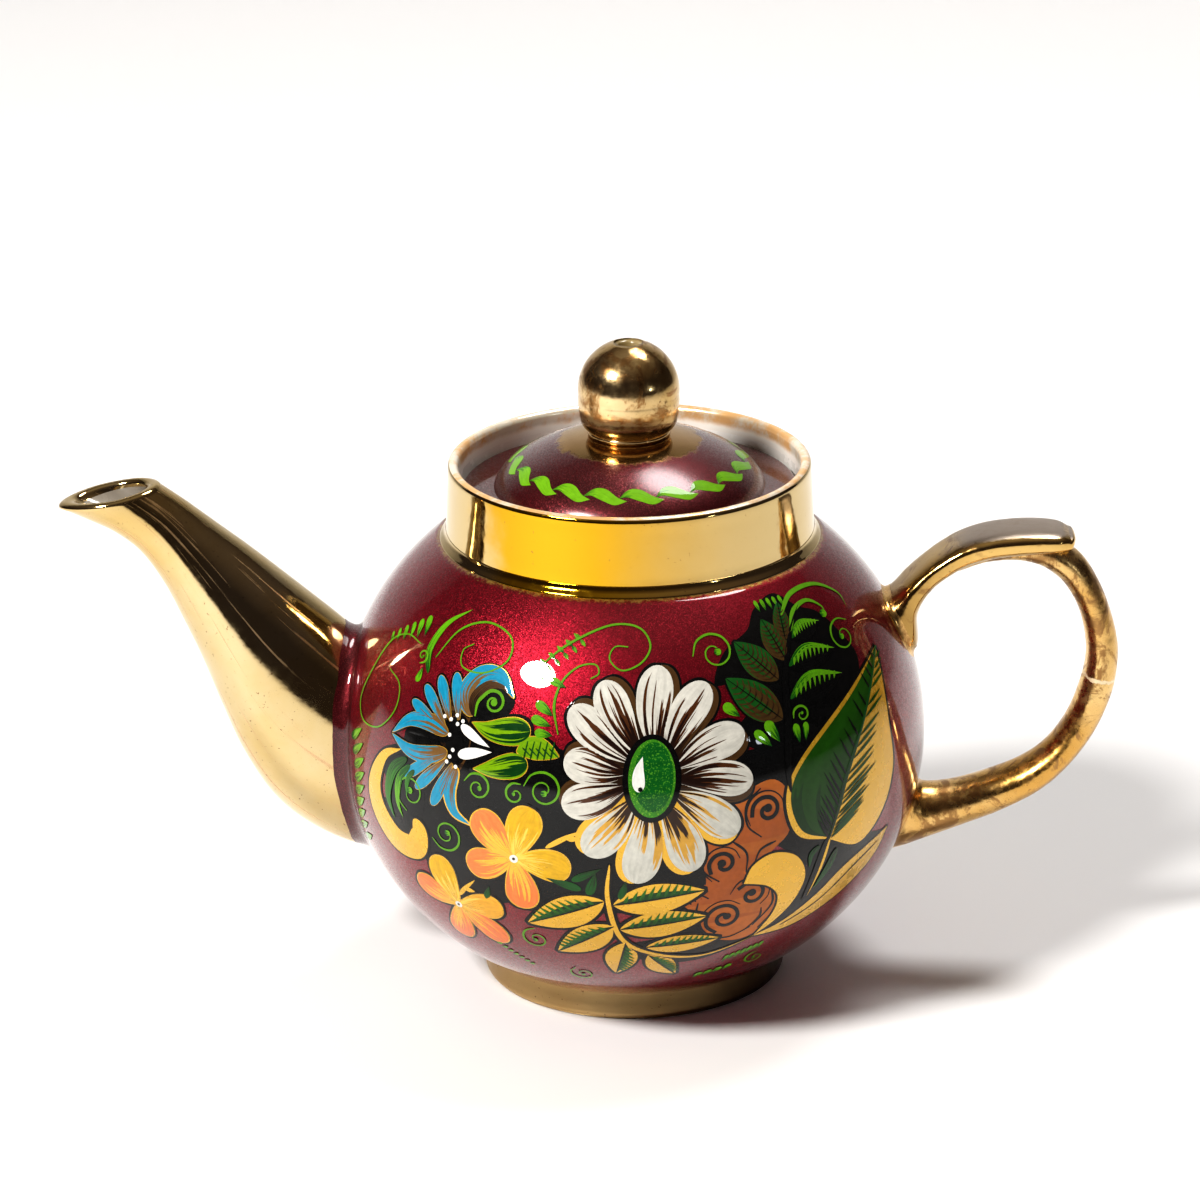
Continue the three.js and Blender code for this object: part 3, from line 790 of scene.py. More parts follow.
STRAP = [((50, 82.5), (50, 73), 8.6), ((57.3, 88), (62.4, 74.2), 8.2), ((60.5, 91.2), (63.4, 83.4), 7.7),
         ((64, 94.4), (66.4, 88.8), 7.2), ((68, 97.5), (70.8, 92.4), 7.2),
         ((72.6, 100.2), (74.8, 94.6), 7.3), ((78, 102), (79.4, 95.9), 7.5),
         ((84, 102.8), (84.4, 96.5), 7.6), ((89.6, 102.9), (89.4, 96.8), 7.5),
         ((94.2, 102.4), (93.6, 97), 6.9), ((97, 101.2), (96.6, 97.4), 5.2)]
LOOP = [((70, 97.2), (72, 92.6), 4.4), ((77.4, 100.4), (78.4, 94.8), 5.1),
        ((85.6, 101.4), (84.8, 95.2), 5.4), ((92.6, 100.2), (89.8, 94), 5.4),
        ((97.8, 97.2), (93.2, 91.8), 5.4), ((101.4, 93), (95.9, 89), 5.2),
        ((104.8, 86), (98.8, 83.6), 5), ((107.2, 78), (100.4, 77), 5),
        ((107.8, 71.5), (100.6, 71.6), 5.2), ((106.6, 63.4), (99.4, 65.7), 5.4),
        ((103, 54.6), (96.6, 58.2), 5.6), ((97.6, 46.8), (92.2, 51.8), 5.8),
        ((91, 40.6), (86.6, 47.6), 6), ((82.2, 35.8), (79.2, 44.6), 6.2),
        ((73.4, 32.4), (71.6, 42.4), 6.5), ((64.6, 29.2), (64.8, 42), 7.4),
        ((58.6, 27.2), (60.6, 45), 8.8), ((50, 25.5), (50, 46), 9)]


def halved(low, high, beyond):
    """Narrows down the stretch from low, which is not beyond something, to high, which is."""
    for _ in range(32):
        middle = (low + high) / 2
        if beyond(middle):
            high = middle
        else:
            low = middle
    return low, high


class Tube:
    """A tube whose oval section changes along its stations. side is -1 for the spout, 1 for the handle."""

    STEPS = 40

    def __init__(self, stations, side, flat_top=False):
        self.top = spline([(side * s[0][0], 0, s[0][1]) for s in stations], self.STEPS)
        self.bottom = spline([(side * s[1][0], 0, s[1][1]) for s in stations], self.STEPS)
        self.half = spline([(s[2], 0) for s in stations], self.STEPS)
        self.side = side
        self.flat_top = flat_top

    def at(self, share, angle, grow=0.0):
        """The point at a share of the length and an angle from the top edge."""
        place = min(max(share, 0.0), 1.0) * (len(self.top) - 1)
        i = min(int(place), len(self.top) - 2)
        part = place - i
        top = self.top[i].lerp(self.top[i + 1], part)
        bottom = self.bottom[i].lerp(self.bottom[i + 1], part)
        half = self.half[i].lerp(self.half[i + 1], part).x + grow
        up = (top - bottom) / 2
        c, s = math.cos(angle), math.sin(angle)
        if self.flat_top and c > 0:
            c, s = c ** 0.55, math.copysign(abs(s) ** 0.62, s)
        point = (top + bottom) / 2 + up.normalized() * (up.length + grow) * c
        return point - Vector((0, self.side * half * s, 0))

    def share_where(self, angle, outside, grow=0.0):
        """The share of the length where the surface line at an angle comes outside of something.

        A tube whose start lies outside is followed from its end back.
        """
        low, high = (0.0, 1.0) if outside(self.at(1, angle, grow)) else (0.0, 0.5)
        if outside(self.at(0, angle, grow)):
            low, high = 1.0, 0.5
        return halved(low, high, lambda share: outside(self.at(share, angle, grow)))[1]


def tube_rows(shape, tube, starts, ends, around, lengthwise, grow=0.0):
    """Rows of points from one share to another, each of which can differ round the tube."""
    rows = []
    for i in range(lengthwise + 1):
        row = []
        for j in range(around):
            share = starts[j] + (ends[j] - starts[j]) * i / lengthwise
            place = (1 - abs(1 - 2 * j / around), share)
            row.append(shape.add(tube.at(share, 2 * math.pi * j / around, grow), place))
        rows.append(row)
    return rows


def angles(around):
    return [2 * math.pi * j / around for j in range(around)]


def in_bowl_wall(p):
    """Tells the points outside of a shell a little under the bowl's surface, where the tubes start."""
    return bowl_level(p, -ROOT_DEPTH) > 1


spout_tube = Tube(SPOUT, -1)
strap_tube = Tube(STRAP, 1, flat_top=True)
loop_tube = Tube(LOOP, 1)


def past_mouth(p):
    share = (-p.x - MOUTH_BACK[0]) / (MOUTH_TIP[0] - MOUTH_BACK[0])
    return p.z > MOUTH_BACK[1] + (MOUTH_TIP[1] - MOUTH_BACK[1]) * share


def make_spout():
    """Outer skin, rolled lip and bore in one."""
    shape, around = Shape(), 96
    turns = angles(around)
    roots = [spout_tube.share_where(a, in_bowl_wall) for a in turns]
    mouths = [mouth_share(a, 0.0) for a in turns]
    outer = tube_rows(shape, spout_tube, roots, mouths, around, 110)
    bore_mouths = [mouth_share(a, -SPOUT_WALL) for a in turns]
    bore_roots = [spout_tube.share_where(a, in_bowl_wall, -SPOUT_WALL) for a in turns]
    bore = tube_rows(shape, spout_tube, bore_mouths, bore_roots, around, 60, -SPOUT_WALL)
    lip = []
    for i in range(1, LIP_STEPS):
        turn = math.pi * i / LIP_STEPS
        row = []
        for j in range(around):
            a = spout_tube.at(mouths[j], turns[j])
            b = spout_tube.at(bore_mouths[j], turns[j], -SPOUT_WALL)
            middle, reach = (a + b) / 2, (a - b) / 2
            rise = MOUTH_WAY * min(reach.length, 1.3) * 0.75
            row.append(shape.add(middle + reach * math.cos(turn) + rise * math.sin(turn)))
        lip.append(row)
    rows = outer + lip + bore
    shape.grid(rows, closed=True, finish=[0] * (len(outer) + LIP_STEPS) + [1] * len(bore))
    shape.build("spout_gilt", [SPOUT_GOLD, SHADED_SPOUT_GLAZE], "pot", ["spout"], "gilt_porcelain")


def mouth_share(angle, grow):
    """Where the surface line at an angle reaches a plane a little under the mouth's."""
    under = Vector((0, 0, 1.0))
    return halved(0.6, 1.0, lambda share: past_mouth(spout_tube.at(share, angle, grow) + under))[0]


def make_strap():
    """The handle's upper arm, with its thumb rest drawn out to a blunt point."""
    shape, around = Shape(), 64
    starts = [strap_tube.share_where(a, in_bowl_wall) for a in angles(around)]
    rows = tube_rows(shape, strap_tube, starts, [THUMB_REST_END] * around, around, 90)
    middle = (strap_tube.at(THUMB_REST_END, 0) + strap_tube.at(THUMB_REST_END, math.pi)) / 2
    ahead = (strap_tube.at(1, math.pi) - strap_tube.at(0.96, math.pi)).normalized() * TIP_LENGTH
    for i in range(1, 9):
        turn = math.pi / 2 * i / 9
        row = []
        for a in angles(around):
            edge = strap_tube.at(THUMB_REST_END, a)
            row.append(shape.add(middle + (edge - middle) * math.cos(turn) + ahead * math.sin(turn)))
        rows.append(row)
    rows.append([shape.add(middle + ahead)] * around)
    shape.grid(rows, closed=True)
    shape.build("handle_strap_gilt", [HANDLE_GOLD], "pot", ["handle_strap"], "gilt_porcelain")


def make_loop():
    shape, around = Shape(), 64
    ends = [loop_tube.share_where(a, in_bowl_wall) for a in angles(around)]
    rows = tube_rows(shape, loop_tube, [0.0] * around, ends, around, 150)
    shape.grid(rows, closed=True)
    shape.build("handle_loop_gilt", [LOOP_GOLD], "pot", ["handle_loop"], "gilt_porcelain")


def make_root(name, tube, on_bowl, on_tube, look, node):
    """The hollow-cheeked seam of slip between a tube and the bowl."""
    shape, around, steps = Shape(), 128, 10
    rows = [[] for _ in range(steps + 1)]
    for a in angles(around):
        share = tube.share_where(a, lambda p: bowl_level(p) > 1)
        toward = 1 if share < 0.5 else -1
        corner = tube.at(share, a)
        normal = bowl_normal(corner)
        away = tube.at(share, a, 1.0) - corner
        along = (away - normal * away.dot(normal)).normalized()
        wave = 1 + 0.16 * noise.noise(Vector((3 * math.cos(a), 3 * math.sin(a), 5.0)))
        foot = onto_bowl(corner + along * on_bowl, -0.04)
        reach = share
        while (tube.at(reach, a) - corner).length < on_tube * wave:
            reach += 0.001 * toward
        head = tube.at(reach, a, 0.06)
        for i in range(steps + 1):
            t = i / steps
            rows[i].append(shape.add(foot * (1 - t) ** 2 + corner * 2 * t * (1 - t) + head * t ** 2))
    shape.grid(rows if tube.side < 0 else rows[::-1], closed=True)
    shape.build(name, [look], "pot", [node], "lacquered_porcelain")


# ---------------------------------------------------------------- painting

# How far the layers of enamel lie above the lacquer, in painting order.
GROUND, OUTLINE, SHADE, COLOUR, DETAIL, TOP = 0.04, 0.08, 0.11, 0.14, 0.18, 0.22
LID_LEAVES = 20
RING_GAP = 1.6  # the widest gap between the rings of points that fill a patch
STROKE_STEPS = 12  # stretches between two of a brush stroke's points


class Side:
    """One painted side of the bowl. (u, v) are millimetres over the surface from its middle."""

    TILT = math.radians(12)

    def __init__(self, name, azimuth, flip):
        turn = math.radians(azimuth)
        out = Vector((math.cos(turn), math.sin(turn), 0))
        self.name = name
        self.flip = flip
        self.out = out * math.cos(self.TILT) + Vector((0, 0, math.sin(self.TILT)))
        self.right = Vector((-out.y, out.x, 0))
        self.up = self.out.cross(self.right)

    def at(self, u, v, lift):
        far = math.hypot(u, v)
        if far < 1e-6:
            return onto_bowl(Vector((0, 0, MIDDLE)) + self.out * BOWL_R, lift)
        angle = far / BOWL_R
        way = (self.right * u * self.flip + self.up * v) / far
        return onto_bowl(Vector((0, 0, MIDDLE)) + (self.out * math.cos(angle) + way * math.sin(angle))
            * BOWL_R, lift)


class Crown:
    """The lid's dome. u is the angle round it in degrees and v the distance down from the axis."""

    name = "lid"
    flip = 1

    def at(self, u, v, lift):
        turn = math.radians(u)
        height = DOME_TOP
        for a, b in zip(DOME_LINE, DOME_LINE[1:]):
            if b.x <= v <= a.x:
                height = a.y + (b.y - a.y) * (a.x - v) / (a.x - b.x)
                break
        return Vector((v * math.cos(turn), v * math.sin(turn), height + lift))


def teardrop(t, peak=0.68, base=0.16):
    """Half width of a petal: narrow at its base, broad near a round tip."""
    if t < peak:
        return base + (1 - base) * math.sin(math.pi / 2 * t / peak)
    return math.sqrt(max(0.0, 1 - ((t - peak) / (1 - peak)) ** 2))


def blade(t):
    """Half width of a leaf, pointed at both ends."""
    return math.sin(math.pi * t ** 0.85) ** 0.85


def drop(t):
    return teardrop(t, 0.72, 0.0)


def drop_back(t):
    return drop(1 - t)


def hair(t):
    """Half width of a thin brush line that starts full and thins out."""
    return min(1.0, 0.35 + 3 * t) * (1 - 0.55 * t) if t < 0.97 else 0.45


def comma(t):
    return math.sin(math.pi * t ** 0.6) ** 0.8


def comma_back(t):
    return comma(1 - t)


def even(t):
    return 1


class Painter:
    """Lays strokes on one surface, collecting those of one layer in one piece."""

    def __init__(self, surface, body):
        self.surface = surface
        self.body = body
        self.layers = {}

    def stroke(self, layer, colour, path, half, width=teardrop, lift=COLOUR, grow=0.0, across=4):
        """A brush stroke along a path. half is its greatest half width and width its profile."""
        shape = self.layers.setdefault((layer, colour), Shape())
        line = spline(path, STROKE_STEPS)
        line = eased(line, STROKE_STEPS * max(2, len(path) - 1))
        lengths = [0.0]
        for a, b in zip(line, line[1:]):
            lengths.append(lengths[-1] + (b - a).length)
        total = lengths[-1]
        seed = random.uniform(0, 50)
        rows = []
        for i, (p, far) in enumerate(zip(line, lengths)):
            t = far / total
            ahead = (line[min(i + 1, len(line) - 1)] - line[max(i - 1, 0)]).normalized()
            aside = Vector((-ahead.y, ahead.x))
            wide = half * width(t) + grow
            shift = ahead * grow * (2 * t - 1)
            row = []
            for j in range(across + 1):
                w = 2 * j / across - 1
                q = p + shift + aside * wide * w
                crown = min(0.035, 0.02 * half) * (1 - w * w)
                row.append(shape.add(self.surface.at(q.x, q.y, lift + crown), (t, j / across), seed))
            rows.append(row)
        if self.surface.flip < 0:
            rows = [row[::-1] for row in rows]
        shape.grid(rows[::-1])

    def edged(self, layer, colour, path, half, width=teardrop, edge=0.45, lift=COLOUR):
        """A stroke with a thin black edge all round."""
        self.stroke("edges", "black", path, half, width, OUTLINE, edge)
        self.stroke(layer, colour, path, half, width, lift)

    def outline(self, half, *paths):
        """Black lines of one width under the edges of a shape."""
        for path in paths:
            self.stroke("edges", "black", path, half, even, OUTLINE, across=2)

    def line(self, path, half=0.3, colour="line", lift=DETAIL, width=hair):
        self.stroke("lines", colour, path, half, width, lift, across=2)

    def dot(self, u, v, radius, colour="plain_white", lift=TOP):
        self.patch("dots", colour, circle(u, v, radius), lift)

    def patch(self, layer, colour, outline, lift=GROUND):
        """A filled area inside a closed outline that can be seen whole from its middle."""
        shape = self.layers.setdefault((layer, colour), Shape())
        outline = [Vector(p) for p in outline]
        middle = sum(outline, Vector((0, 0))) / len(outline)
        reach = max((p - middle).length for p in outline)
        rings = max(2, math.ceil(reach / RING_GAP))
        seed = random.uniform(0, 50)
        rows = [[shape.add(self.surface.at(middle.x, middle.y, lift), (0.5, 0.5), seed)] * len(outline)]
        for i in range(1, rings + 1):
            row = []
            for p in outline:
                q = middle.lerp(p, i / rings)
                place = (0.5 + (q.x - middle.x) / reach / 2, 0.5 + (q.y - middle.y) / reach / 2)
                row.append(shape.add(self.surface.at(q.x, q.y, lift), place, seed))
            rows.append(row)
        if self.surface.flip > 0:
            rows = rows[::-1]
        shape.grid(rows, closed=True)

    def blob(self, layer, colour, corners, lift=GROUND):
        """A patch with a smooth outline through its corners."""
        steps, extra = 6, 2
        line = spline([*corners[-extra:], *corners, *corners[:extra]], steps)
        self.patch(layer, colour, line[steps * extra:-steps * extra - 1], lift)

    def finish(self):
        for (layer, colour), shape in self.layers.items():
            name = f"{self.surface.name}_{layer}_{colour}"
            shape.build(name, [ENAMEL[colour]], self.body, slot="lacquered_porcelain")


def paint_ground(p):
    """Black under the bouquet in overlapping patches, and the rust-coloured one right of the daisy."""
    black = [
        (0.003, [(18, 19), (21, 26.6), (27, 31.6), (29.6, 37), (35.6, 41.4), (42, 38), (48, 36.4),
            (54, 30.6), (58, 24.6), (56, 17), (48, 9), (40, 1), (30, 3), (20, 9)]),
        (0.024, [(-48, -12), (-38, -3), (-27, -3), (-26, -20), (-32, -30), (-40, -35), (-49, -30),
            (-52, -22)]),
        (0.028, [(-64, -3), (-57, 1), (-50, -6), (-52, -16), (-58, -20), (-65, -12)]),
        (0.027, [(-5, -16), (8, -16), (15, -22), (14, -31), (4, -33), (-6, -28)]),
        (0.0, [(-66, 0), (-57, 4), (-50, 2), (-40, 1), (-33, -2), (-30, -12), (-27, -30), (-36, -33),
            (-44, -26), (-56, -24), (-66, -19), (-70, -10)]),
        (0.012, [(-42, 4), (-30, 7), (-17, 6), (-8, 0), (2, -12), (6, -24), (2, -32), (-12, -33),
            (-24, -31), (-36, -28), (-46, -22), (-44, -8)]),
        (0.008, [(24, 20), (33, 21), (42, 12), (43, 0), (40, -10), (30, -10), (20, -4), (14, 6)]),
        (0.016, [(-8, -26), (14, -27), (22, -36), (30, -42), (26, -47), (14, -51.6), (2, -50),
            (-6, -42)]),
        (0.020, [(26, -14), (36, -12), (48, -18), (62, -22), (68, -24), (58, -32), (44, -41), (31, -44.6),
            (26, -30)])
    ]
    for rise, corners in black:
        p.blob("ground", "black", corners, GROUND + rise)
    rust = [(6, -20), (15, -13), (24, -5), (31, -2.6), (35.4, -8), (34.4, -16), (28, -20.6), (25, -25.6),
            (31, -27.6), (35, -32.6), (33, -40), (26, -45), (18, -42.6), (12.6, -33.6), (7, -27)]
    p.blob("ground", "rust", rust, GROUND + 0.030)


DAISY = (3.7, -0.8)


def paint_daisy(p):
    """Twelve long petals round a green eye. The lower ones lie on gold."""
    cu, cv = DAISY
    petals = [
        (85, 24.6, 4.0), (58, 24, 3.9), (25, 22.6, 3.9), (-4, 22.2, 3.9), (-35, 22.8, 4.0),
        (-67, 23.2, 4.1), (-99, 24.2, 4.2), (-131, 22.2, 4.1), (-163, 20.2, 4.0), (167, 19.2, 3.9),
        (138, 23.2, 3.9), (116, 23.6, 3.9)
    ]
    for angle, reach, half in petals:
        lower = -140 < angle < -20
        start = polar(cu, cv, angle, 5.4)
        bend = polar(cu, cv, angle + 3, reach * 0.6)
        tip = polar(cu, cv, angle, reach)
        aside = polar(0, 0, angle - 90, 1.25)
        shade = [(q[0] + aside[0], q[1] + aside[1]) for q in (start, bend, tip)]
        p.stroke("edges", "black", shade, half, teardrop, OUTLINE, 0.6, across=6)
        p.stroke("edges", "black", [start, bend, tip], half, teardrop, OUTLINE + 0.006, 0.55, across=6)
        p.stroke("daisy_shade", "gilt" if lower else "brown", shade, half, teardrop, SHADE, 0.15, across=6)
        p.stroke("daisy", "white_on_gold" if lower else "white", [start, bend, tip], half, teardrop,
            COLOUR, across=8)
    p.patch("edges", "black", circle(cu, cv, 9.5, 0.66, -0.04, 48), COLOUR + 0.055)
    p.patch("daisy_eye", "eye_rim", circle(cu, cv, 8.4, 0.60, -0.04, 48), DETAIL + 0.02)
    p.patch("daisy_eye", "eye", circle(cu + 0.35, cv + 0.3, 7.5, 0.56, -0.04, 48), DETAIL + 0.032)
    p.stroke("daisy_gleam", "plain_white", [(1.8, 4.0), (0.9, 0.6), (0.9, -3.6)], 1.35, drop, TOP + 0.02)
    p.dot(1.2, -3.0, 0.5, "black", TOP + 0.07)


def blue_petal(p, path, half, width, rim):
    """A petal of the cornflower, with a thin gold rim inside its black edge."""
    p.stroke("blue_rim", "gilt", path, half, width, SHADE + 0.006, rim)
    p.edged("blue", "blue", path, half, width)


def paint_blue(p):
    """A side-on cornflower: bold outer petals, small inner ones, white stamens and green sepals."""
    p.blob("ground", "black", [(-56, 7), (-51, 13), (-46, 17.4), (-40, 19), (-35, 18), (-29, 20),
        (-26.4, 15.4), (-30, 10), (-36, 2), (-40, -5), (-46, -6), (-53, -2), (-57, 4)], OUTLINE - 0.012)
    p.blob("blue_heart", "brown", [(-50, 8.6), (-46, 14), (-39.6, 15.6), (-36.6, 10), (-38, 2),
        (-43, -3.6), (-48.6, 1)], OUTLINE + 0.01)
    p.blob("blue_heart", "black", [(-55, 7), (-44, 10.6), (-39, 12), (-37, 8), (-38.5, 2), (-42, 0),
        (-45, 3)], SHADE)
    fingers = [
        ((-45, 8.6), (-54.2, 14.9), 1.4), ((-44, 9.6), (-50.5, 18.8), 1.4),
        ((-42.4, 10.6), (-46.4, 21.2), 1.45), ((-40.2, 11), (-41.8, 22), 1.45),
        ((-44, 3.4), (-56.8, -4.4), 1.4), ((-43, 1.8), (-52.4, -6.4), 1.45),
        ((-41.6, 0.8), (-47.6, -9.8), 1.5)
    ]
    for a, b, half in fingers:
        blue_petal(p, [a, b], half, teardrop, 0.08)
    bold_petals = [
        [(-43, 7.6), (-48.6, 10), (-54.6, 10), (-60.4, 6.4)],
        [(-43, 3.4), (-49, 2.2), (-54.8, 2.8), (-60.4, 6.0)]
    ]
    for path in bold_petals:
        blue_petal(p, path, 2.1, comma, 0.08)
    hook = [(-37, 12), (-38.2, 17.4), (-35, 21.4), (-30.4, 21.4), (-26.8, 16.4)]
    blue_petal(p, hook, 2.6, comma, 0.15)
    p.stroke("blue_fold", "brown", [(-36.4, 12), (-36.4, 16), (-33.4, 19), (-29.6, 18.8), (-28, 17)],
        1.25, comma, DETAIL)
    low = [(-40.5, 0), (-42.4, -5.4), (-41.4, -10.4), (-37.4, -13)]
    p.stroke("blue_rim", "gilt", low, 1.7, comma, SHADE + 0.006, 0.25)
    p.edged("blue", "blue", low, 1.6, comma)
    specks = [
        (-44, 11.6), (-42.2, 11), (-40.6, 12), (-40.4, 10), (-39, 10.7), (-42.4, 7.4), (-41.4, 4),
        (-42.2, 2.4), (-43, 1.2), (-40.6, 0.2)
    ]
    for u, v in specks:
        p.dot(u, v, 0.48)
    p.stroke("stamens", "plain_white", [(-32, 5.2), (-35.4, 7), (-39.4, 9.8)], 1.15, drop, TOP)
    p.stroke("stamens", "plain_white", [(-31.4, 4.2), (-35.5, 3.8), (-40, 3)], 1.3, drop, TOP)
    sepals = [
        ([(-36.6, 10.6), (-31.5, 9.0), (-22.6, 9.2)], 3.1, drop),
        ([(-36, 0.2), (-31, 0.6), (-23.2, 2.2)], 2.8, drop),
        ([(-25.6, 4.6), (-21.5, 5.6), (-16.2, 3.9)], 2.5, blade)
    ]
    for path, half, width in sepals:
        p.stroke("sepal_rims", "gilt", path, half, width, SHADE, 0.15)
        p.edged("sepals", "lime", path, half, width, 0.8)
        if width is drop:
            p.stroke("sepal_combs", "sepal", path, half * 0.84, width, DETAIL)
    for k in range(5):
        u = -24 + 1.5 * k
        p.line([(u, 3.1), (u + 0.9, 7.0)], 0.24, "deep_green", TOP)
        p.line([(u - 0.3, 5.6), (u + 1.8, 3.6)], 0.22, "deep_green", TOP)
    p.line([(-36, 12), (-35.5, 15), *curl(-31.5, 15.2, 3.0, 1.5, 150, -1)], 0.48, lift=TOP)
    p.dot(-31.4, 15.2, 0.8, "line", TOP + 0.02)


def paint_small_flowers(p):
    """Two five-petalled flowers in orange and yellow, with gold edges to the petals."""
    flowers = [
        ((-27, -20), [("orange", 128, 13.4, 3.9), ("yellow", 68, 13.0, 3.9), ("yellow", -10, 12.8, 3.8),
            ("orange", -86, 13.4, 3.9), ("orange", -166, 12.4, 3.9)]),
        ((-44, -37), [("yellow", 104, 14.4, 3.7), ("orange", 158, 13.2, 3.7), ("ochre", 8, 12.6, 3.7),
            ("orange", -103, 14.2, 3.6), ("orange", -44, 15.6, 3.7)])
    ]
    for (cu, cv), petals in flowers:
        for colour, angle, reach, half in petals:
            path = [polar(cu, cv, angle, 0.4), polar(cu, cv, angle + 4, reach * 0.6),
                polar(cu, cv, angle, reach)]
            p.stroke("edges", "black", path, half, teardrop, OUTLINE, 0.8, across=6)
            p.stroke("flower_rims", "gilt", path, half, teardrop, SHADE, 0.25, across=6)
            p.stroke("flowers", colour, path, half, teardrop, COLOUR, across=6)
            for k in (-2, -1, 0, 1, 2):
                tip = polar(cu, cv, angle + 8 * k, reach * (0.62 - 0.05 * abs(k)))
                p.line([polar(cu, cv, angle, 1.0), tip], 0.15, "gilt", DETAIL)
        p.dot(cu, cv, 1.0)
        p.dot(cu, cv, 0.36, "brown", TOP + 0.03)
    for path in ([(-19.5, -16.6), (-15, -14), (-10.6, -12)], [(-43, -33.6), (-41, -31), (-37.6, -27.6)]):
        p.edged("sprigs", "gilt", path, 0.6, comma, 0.35)
        p.edged("sprigs", "gilt", [path[1], (path[1][0] + 2.8, path[1][1] - 0.2)], 0.7, blade, 0.3)


def paint_crescent(p):
    """A gold hook round a dark leaf, at the spout's end of the bouquet."""
    path = [(-57, 2.6), (-63.5, 0), (-68, -8), (-67, -15.5), (-61.5, -22), (-55, -22.6), (-52.4, -18),
        (-53.4, -14.4)]
    p.stroke("edges", "black", path, 3.7, comma_back, OUTLINE, 0.6, across=6)
    p.stroke("crescent", "gilt", path, 3.7, comma_back, SHADE, across=6)
    leaves = [
        ([(-55, 0.6), (-60, -3), (-62.4, -10), (-60.6, -16)], 1.5, "mid_green"),
        ([(-54, -1), (-57.8, -5), (-58.8, -11), (-57.4, -15)], 1.1, "leaf"),
        ([(-52.6, -2), (-55, -5), (-55.4, -9)], 0.8, "mid_green")
    ]
    for path, half, colour in leaves:
        p.stroke("crescent_leaf", colour, path, half, comma, DETAIL)


def paint_dark_sprig(p):
    """Dark leaves on a black stem, upper right, with green-fringed ones on the handle's side."""
    stem = [(35, -6), (34.4, 0), (35, 12), (35.2, 20), (38.6, 32), (42.6, 39)]
    p.stroke("edges", "black", stem, 0.9, comma, DETAIL)
    dark_leaves = [
        ((33.6, 10.6), (20.6, 20.4), 4.0), ((33.4, 19.6), (23.4, 28.8), 3.6), ((36, 24), (31, 34.4), 3.1),
        ((36.6, 29), (36.2, 39), 2.3)
    ]
    for base, tip, half in dark_leaves:
        p.edged("dark_sprig", "dark_leaf", [base, tip], half, blade, 0.4)
        hatch(p, base, tip, half, 8, "brown", 0.2)
        p.line([base, tip], 0.16, "black", TOP + 0.02)
    fringed_leaves = [
        ((36.6, 22.6), (50.6, 26.8), 3.3), ((36, 15), (51.6, 20.4), 3.6), ((38.6, 29.4), (47.6, 34), 2.6)
    ]
    for base, tip, half in fringed_leaves:
        a, b = Vector(base), Vector(tip)
        up = beside(a, b) * half
        p.edged("dark_sprig", "black", [base, tip], half * 0.9, blade, 0.3)
        edge = [base, a.lerp(b, 0.45) + up * 0.9, tip]
        p.stroke("pale_leaves", "leaf", edge, half * 0.26, comma, DETAIL)
        for k in range(9):
            t = 0.16 + 0.09 * k
            root = a.lerp(b, t) + up * (0.95 * math.sin(math.pi * t) ** 0.9)
            end = root - up * (0.2 + 0.75 * math.sin(math.pi * t)) - (b - a) * 0.07
            p.line([root, end], 0.36, "line", TOP, drop_back)


def beside(a, b):
    """The direction to the left of the way from a to b, of length 1."""
    return Vector((a.y - b.y, b.x - a.x)).normalized()


def hatch(p, base, tip, half, count, colour, width):
    """Comb strokes that spring from a leaf's midrib towards its edges and tip."""
    a, b = Vector(base), Vector(tip)
    ahead = (b - a).normalized()
    aside = Vector((-ahead.y, ahead.x))
    for i in range(count):
        t = 0.10 + 0.80 * i / count
        root = a.lerp(b, t)
        reach = half * blade(min(1.0, t + 0.1)) * 0.86
        for hand in (1, -1):
            end = root + aside * hand * reach + ahead * reach * 0.75
            middle = (root + end) / 2 + ahead * -0.2 * reach
            p.line([root, middle, end], width, colour, TOP)


def fill_between(p, layer, colour, edge, rib, lift):
    """Fills between two lines that start and end together."""
    shape = p.layers.setdefault((layer, colour), Shape())
    lengthwise, across = 72, 8
    sides = [eased(spline(line, STROKE_STEPS), lengthwise) for line in (edge, rib)]
    seed = random.uniform(0, 50)
    rows = []
    for i, (a, b) in enumerate(zip(*sides)):
        row = []
        for j in range(across + 1):
            q = a.lerp(b, j / across)
            row.append(shape.add(p.surface.at(q.x, q.y, lift), (i / lengthwise, j / across), seed))
        rows.append(row)
    shape.grid(rows)


